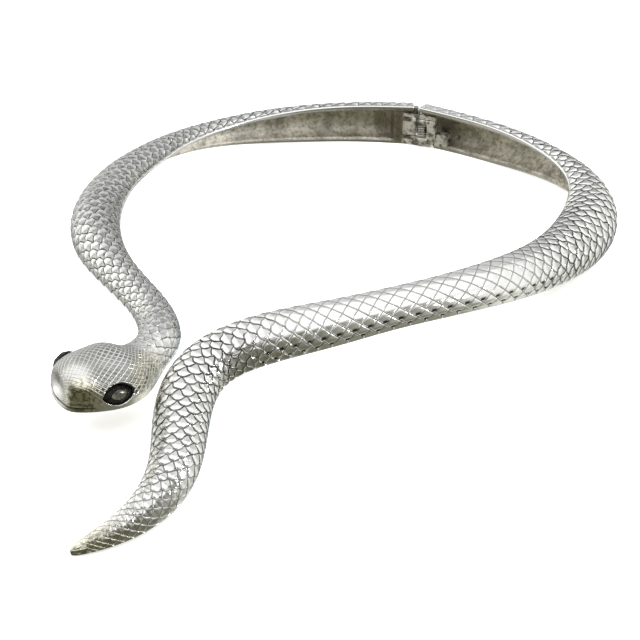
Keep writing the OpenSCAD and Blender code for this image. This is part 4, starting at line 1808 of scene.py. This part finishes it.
@dataclass
class Studio:
    """Pale floor, soft light and the camera.

    The camera's target and distance are in millimetres, and the floor and its light in metres. The
    edges of the ceiling and of the table's mirror image are heights in degrees, and each tone of
    the walls and of the table stands at its azimuth.
    """

    target: Place = (15.9, -26.3, 12.0)
    azimuth: float = 22.0
    elevation: float = 33.5
    distance: float = 307.0
    lens: float = 67.275
    sensor: float = 36.0
    nearest: float = 0.01
    floor_size: float = 6.0
    floor_tones: tuple[Colour, Colour] = ((0.9, 0.9, 0.9), (0.93, 0.93, 0.92))
    floor_clouds: Grain = Grain(3.0, 3.0, 0.5)
    floor_rough: float = 0.7
    floor_shine: Colour = (1.0, 1.0, 0.98)
    floor_glow: float = 0.5
    lamp_place: Place = (0.1, -0.2, 1.2)
    lamp_size: float = 1.6
    lamp_power: float = 30.0
    ceiling: Colour = (1.3, 1.3, 1.3)
    ceiling_edge: Band = (36.0, 54.0)
    table_edge: Band = (-28.0, -8.0)
    spot_place: Band = (82.0, 26.0)
    spot_edge: Band = (0.995, 0.9975)
    spot_tone: Colour = (22.0, 22.0, 22.0)
    wall_tones: tuple[tuple[float, Colour], ...] = (
        (-180, (0.68, 0.69, 0.69)),
        (-165, (0.66, 0.67, 0.67)),
        (-145, (0.75, 0.76, 0.75)),
        (-120, (1.4, 1.4, 1.36)),
        (-95, (1.2, 1.2, 1.15)),
        (-70, (0.7, 0.7, 0.64)),
        (-45, (0.26, 0.25, 0.2)),
        (-20, (0.13, 0.125, 0.08)),
        (25, (0.13, 0.125, 0.08)),
        (50, (0.26, 0.26, 0.22)),
        (70, (0.42, 0.42, 0.38)),
        (88, (0.9, 0.9, 0.86)),
        (110, (1.05, 1.05, 1.02)),
        (166, (1.0, 1.0, 0.97)),
        (173, (0.62, 0.62, 0.61)),
    )
    table_tones: tuple[tuple[float, Colour], ...] = (
        (-180, (0.4, 0.44, 0.45)),
        (-150, (0.4, 0.43, 0.44)),
        (-110, (0.7, 0.7, 0.66)),
        (-50, (0.3, 0.29, 0.22)),
        (0, (0.14, 0.135, 0.09)),
        (60, (0.18, 0.18, 0.13)),
        (90, (0.3, 0.3, 0.24)),
        (104, (0.6, 0.6, 0.52)),
        (126, (0.9, 0.9, 0.82)),
        (150, (0.5, 0.53, 0.54)),
        (170, (0.4, 0.44, 0.45)),
    )

    def camera(self) -> None:
        """Camera at the photograph's angle."""
        data = bpy.data.cameras.new("camera")
        data.lens = self.lens
        data.sensor_width = self.sensor
        data.clip_start = self.nearest
        back = toward(self.azimuth, self.elevation)
        camera = link("camera", data)
        camera.location = (Vector(self.target) + back * self.distance) * MM
        self.aim(camera, back)
        bpy.context.scene.camera = camera

    @staticmethod
    def aim(piece: bpy.types.Object, back: Vector) -> None:
        """Turns a camera or a light, so that it looks against a direction."""
        piece.rotation_mode = "QUATERNION"
        piece.rotation_quaternion = back.to_track_quat("Z", "Y")

    def floor(self) -> None:
        """Plain pale floor under the collar."""
        half = self.floor_size / 2
        corners = [(-half, -half, 0), (half, -half, 0), (half, half, 0), (-half, half, 0)]
        mesh = bpy.data.meshes.new("floor")
        mesh.from_pydata(corners, [], [(0, 1, 2, 3)])
        material, graph = shader("floor_white")
        values = {
            "Base Color": graph.mix(graph.noise(graph.place(), self.floor_clouds), *self.floor_tones),
            "Roughness": self.floor_rough,
            "Emission Color": (*self.floor_shine, 1.0),
            "Emission Strength": self.floor_glow,
        }
        graph.show(graph.principled(values))
        mesh.materials.append(material)
        floor = link("floor", mesh)
        floor.visible_glossy = False

    def floor_light(self) -> None:
        """Soft light for the floor alone, which the metal doesn't mirror."""
        data = bpy.data.lights.new("floor_light", "AREA")
        data.shape = "DISK"
        data.size = self.lamp_size
        data.energy = self.lamp_power
        light = link("floor_light", data)
        light.location = self.lamp_place
        light.visible_glossy = False
        self.aim(light, Vector(self.lamp_place))

    def sky(self) -> None:
        """Room round the table: white ceiling, a long window on one side, dim ends."""
        world = bpy.data.worlds.new("room")
        bpy.context.scene.world = world
        world.use_nodes = True
        world.node_tree.nodes.clear()
        graph = Graph(world.node_tree)
        way = graph.add("ShaderNodeTexCoord")
        parts = graph.add("ShaderNodeSeparateXYZ", None, {0: way})
        height = parts.output("Z").arcsine() * (180 / math.pi)
        turn = parts.arctan2(parts.output("Y") * -1.0) * (0.5 / math.pi) + 0.5
        table, walls = (self.band(graph, tones, turn) for tones in (self.table_tones, self.wall_tones))
        room = graph.mix(height.share(*self.table_edge), table, walls)
        room = graph.mix(height.share(*self.ceiling_edge), room, self.ceiling)
        values = {0: way, 1: toward(*self.spot_place)}
        near = graph.add("ShaderNodeVectorMath", {"operation": "DOT_PRODUCT"}, values).output("Value")
        room = graph.mix(near.share(*self.spot_edge), room, self.spot_tone)
        back = graph.add("ShaderNodeBackground", None, {"Color": room, "Strength": 1.0})
        graph.show(back, "ShaderNodeOutputWorld")

    @staticmethod
    def band(graph: Graph, tones: tuple[tuple[float, Colour], ...], turn: Wire) -> Wire:
        """Ring of tones round the table.

        Args:
            graph: The world's graph.
            tones: Azimuths in degrees, from -180 to 180, each with its colour.
            turn: The azimuth, as a share of a turn from -180 degrees.

        Returns:
            The colour.
        """
        stops = [((azimuth + 180) / 360, tone) for azimuth, tone in tones]
        return graph.add("ShaderNodeValToRGB", {"stops": stops}, {0: turn})

    def build(self) -> None:
        """Makes the whole studio."""
        self.camera()
        self.floor()
        self.sky()
        self.floor_light()
        view = bpy.context.scene.view_settings
        view.view_transform = "Standard"
        view.look = "None"


def hinge_finishes() -> dict[str, Material]:
    """Finishes of the hinge.

    Returns:
        The silver of its plates, and the finishes of the pin, the spring and the stop lug.
    """
    finishes = {
        "hinge": MachinedMetal("hinge_silver", (0.95, 0.91, 0.83)),
        "pin": MachinedMetal("pin_silver", (0.8, 0.79, 0.76)),
        "spring": MachinedMetal("spring_wire", (0.75, 0.73, 0.7), polish=0.22, metal=1.0),
        "stop_lug": MachinedMetal("lug_silver", (0.4, 0.4, 0.38), metal=1.0),
    }
    return {name: finish.make() for name, finish in finishes.items()}


def castings(eyes: tuple[Eye, ...]) -> tuple[HeadCasting, Casting]:
    """Both halves of the collar, each with its spots of painted shade or reflection and of worn fine scales.

    Args:
        eyes: The eyes, for which the head has pockets.

    Returns:
        The half with the head and the half with the tail.
    """
    # Painted shade in the hollow back round the hinge, a painted reflection with worn fine scales on the
    # snout, painted shade on the jaw's flank, worn fine scales on the muzzle, and darker round the tail's tip
    nape = Spot((0.0, 109.0, 6.0), 18.0, 0.7, hollow=True)
    snout = Spot((-19.8, -82.5, 16.2), 6.0, 0.75, worn=0.8)
    flank = Spot((-9.0, -68.5, 15.0), 9.0, 0.4)
    muzzle = Spot((-23.0, -80.5, 19.0), 6.0, 0.0, worn=0.6)
    tip = Spot(tuple(TAIL_ROUTE[-1][:3]), 14.0, 0.6)
    head = HeadCasting(
        "head_casting",
        Route(HEAD_ROUTE, Side.HEAD),
        Body.HEAD,
        "head_arm",
        bulkhead=(2, 3),
        head_from=107.0,
        eyes=eyes,
        spots=(nape, snout, flank, muzzle),
    )
    tail = Casting(
        "tail_casting",
        Route(TAIL_ROUTE, Side.TAIL),
        Body.TAIL,
        "tail_arm",
        foot_cut=6.0,
        overlap=((0.0, 0.6), (3.0, 1.0), (7.0, 1.0), (8.5, 0.1), (12.0, 0.1), (13.5, 1.0), (20.0, 1.0)),
        spots=(nape, tip),
        pits_low=(7.5, 13.0),
        pits_high=(13.5, 17.5),
    )
    return head, tail


def main() -> None:
    """Builds the necklace round its frame."""
    logging.basicConfig(level=logging.INFO, format="%(message)s")
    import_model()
    Studio().build()
    silver = PlatedSilver("plated_silver").make()
    finishes = hinge_finishes()
    setting_silver = MachinedMetal("setting_silver", (0.02, 0.02, 0.02), polish=0.35, metal=1.0).make()
    stone = BlackStone("black_stone").make()
    relief = ScaleRelief().tree()
    near_eye = Eye("eye_stone_left", 1, "eye_left")
    far_eye = Eye("eye_stone_right", -1, "eye_right", lift=1.3, lip=-0.45, slope=0.0)
    eyes = (near_eye, far_eye)
    for casting in castings(eyes):
        casting.build(relief, silver)
    SpringHinge(finishes).build()
    for eye in eyes:
        eye.build(stone, setting_silver)


if __name__ == "__main__":
    main()
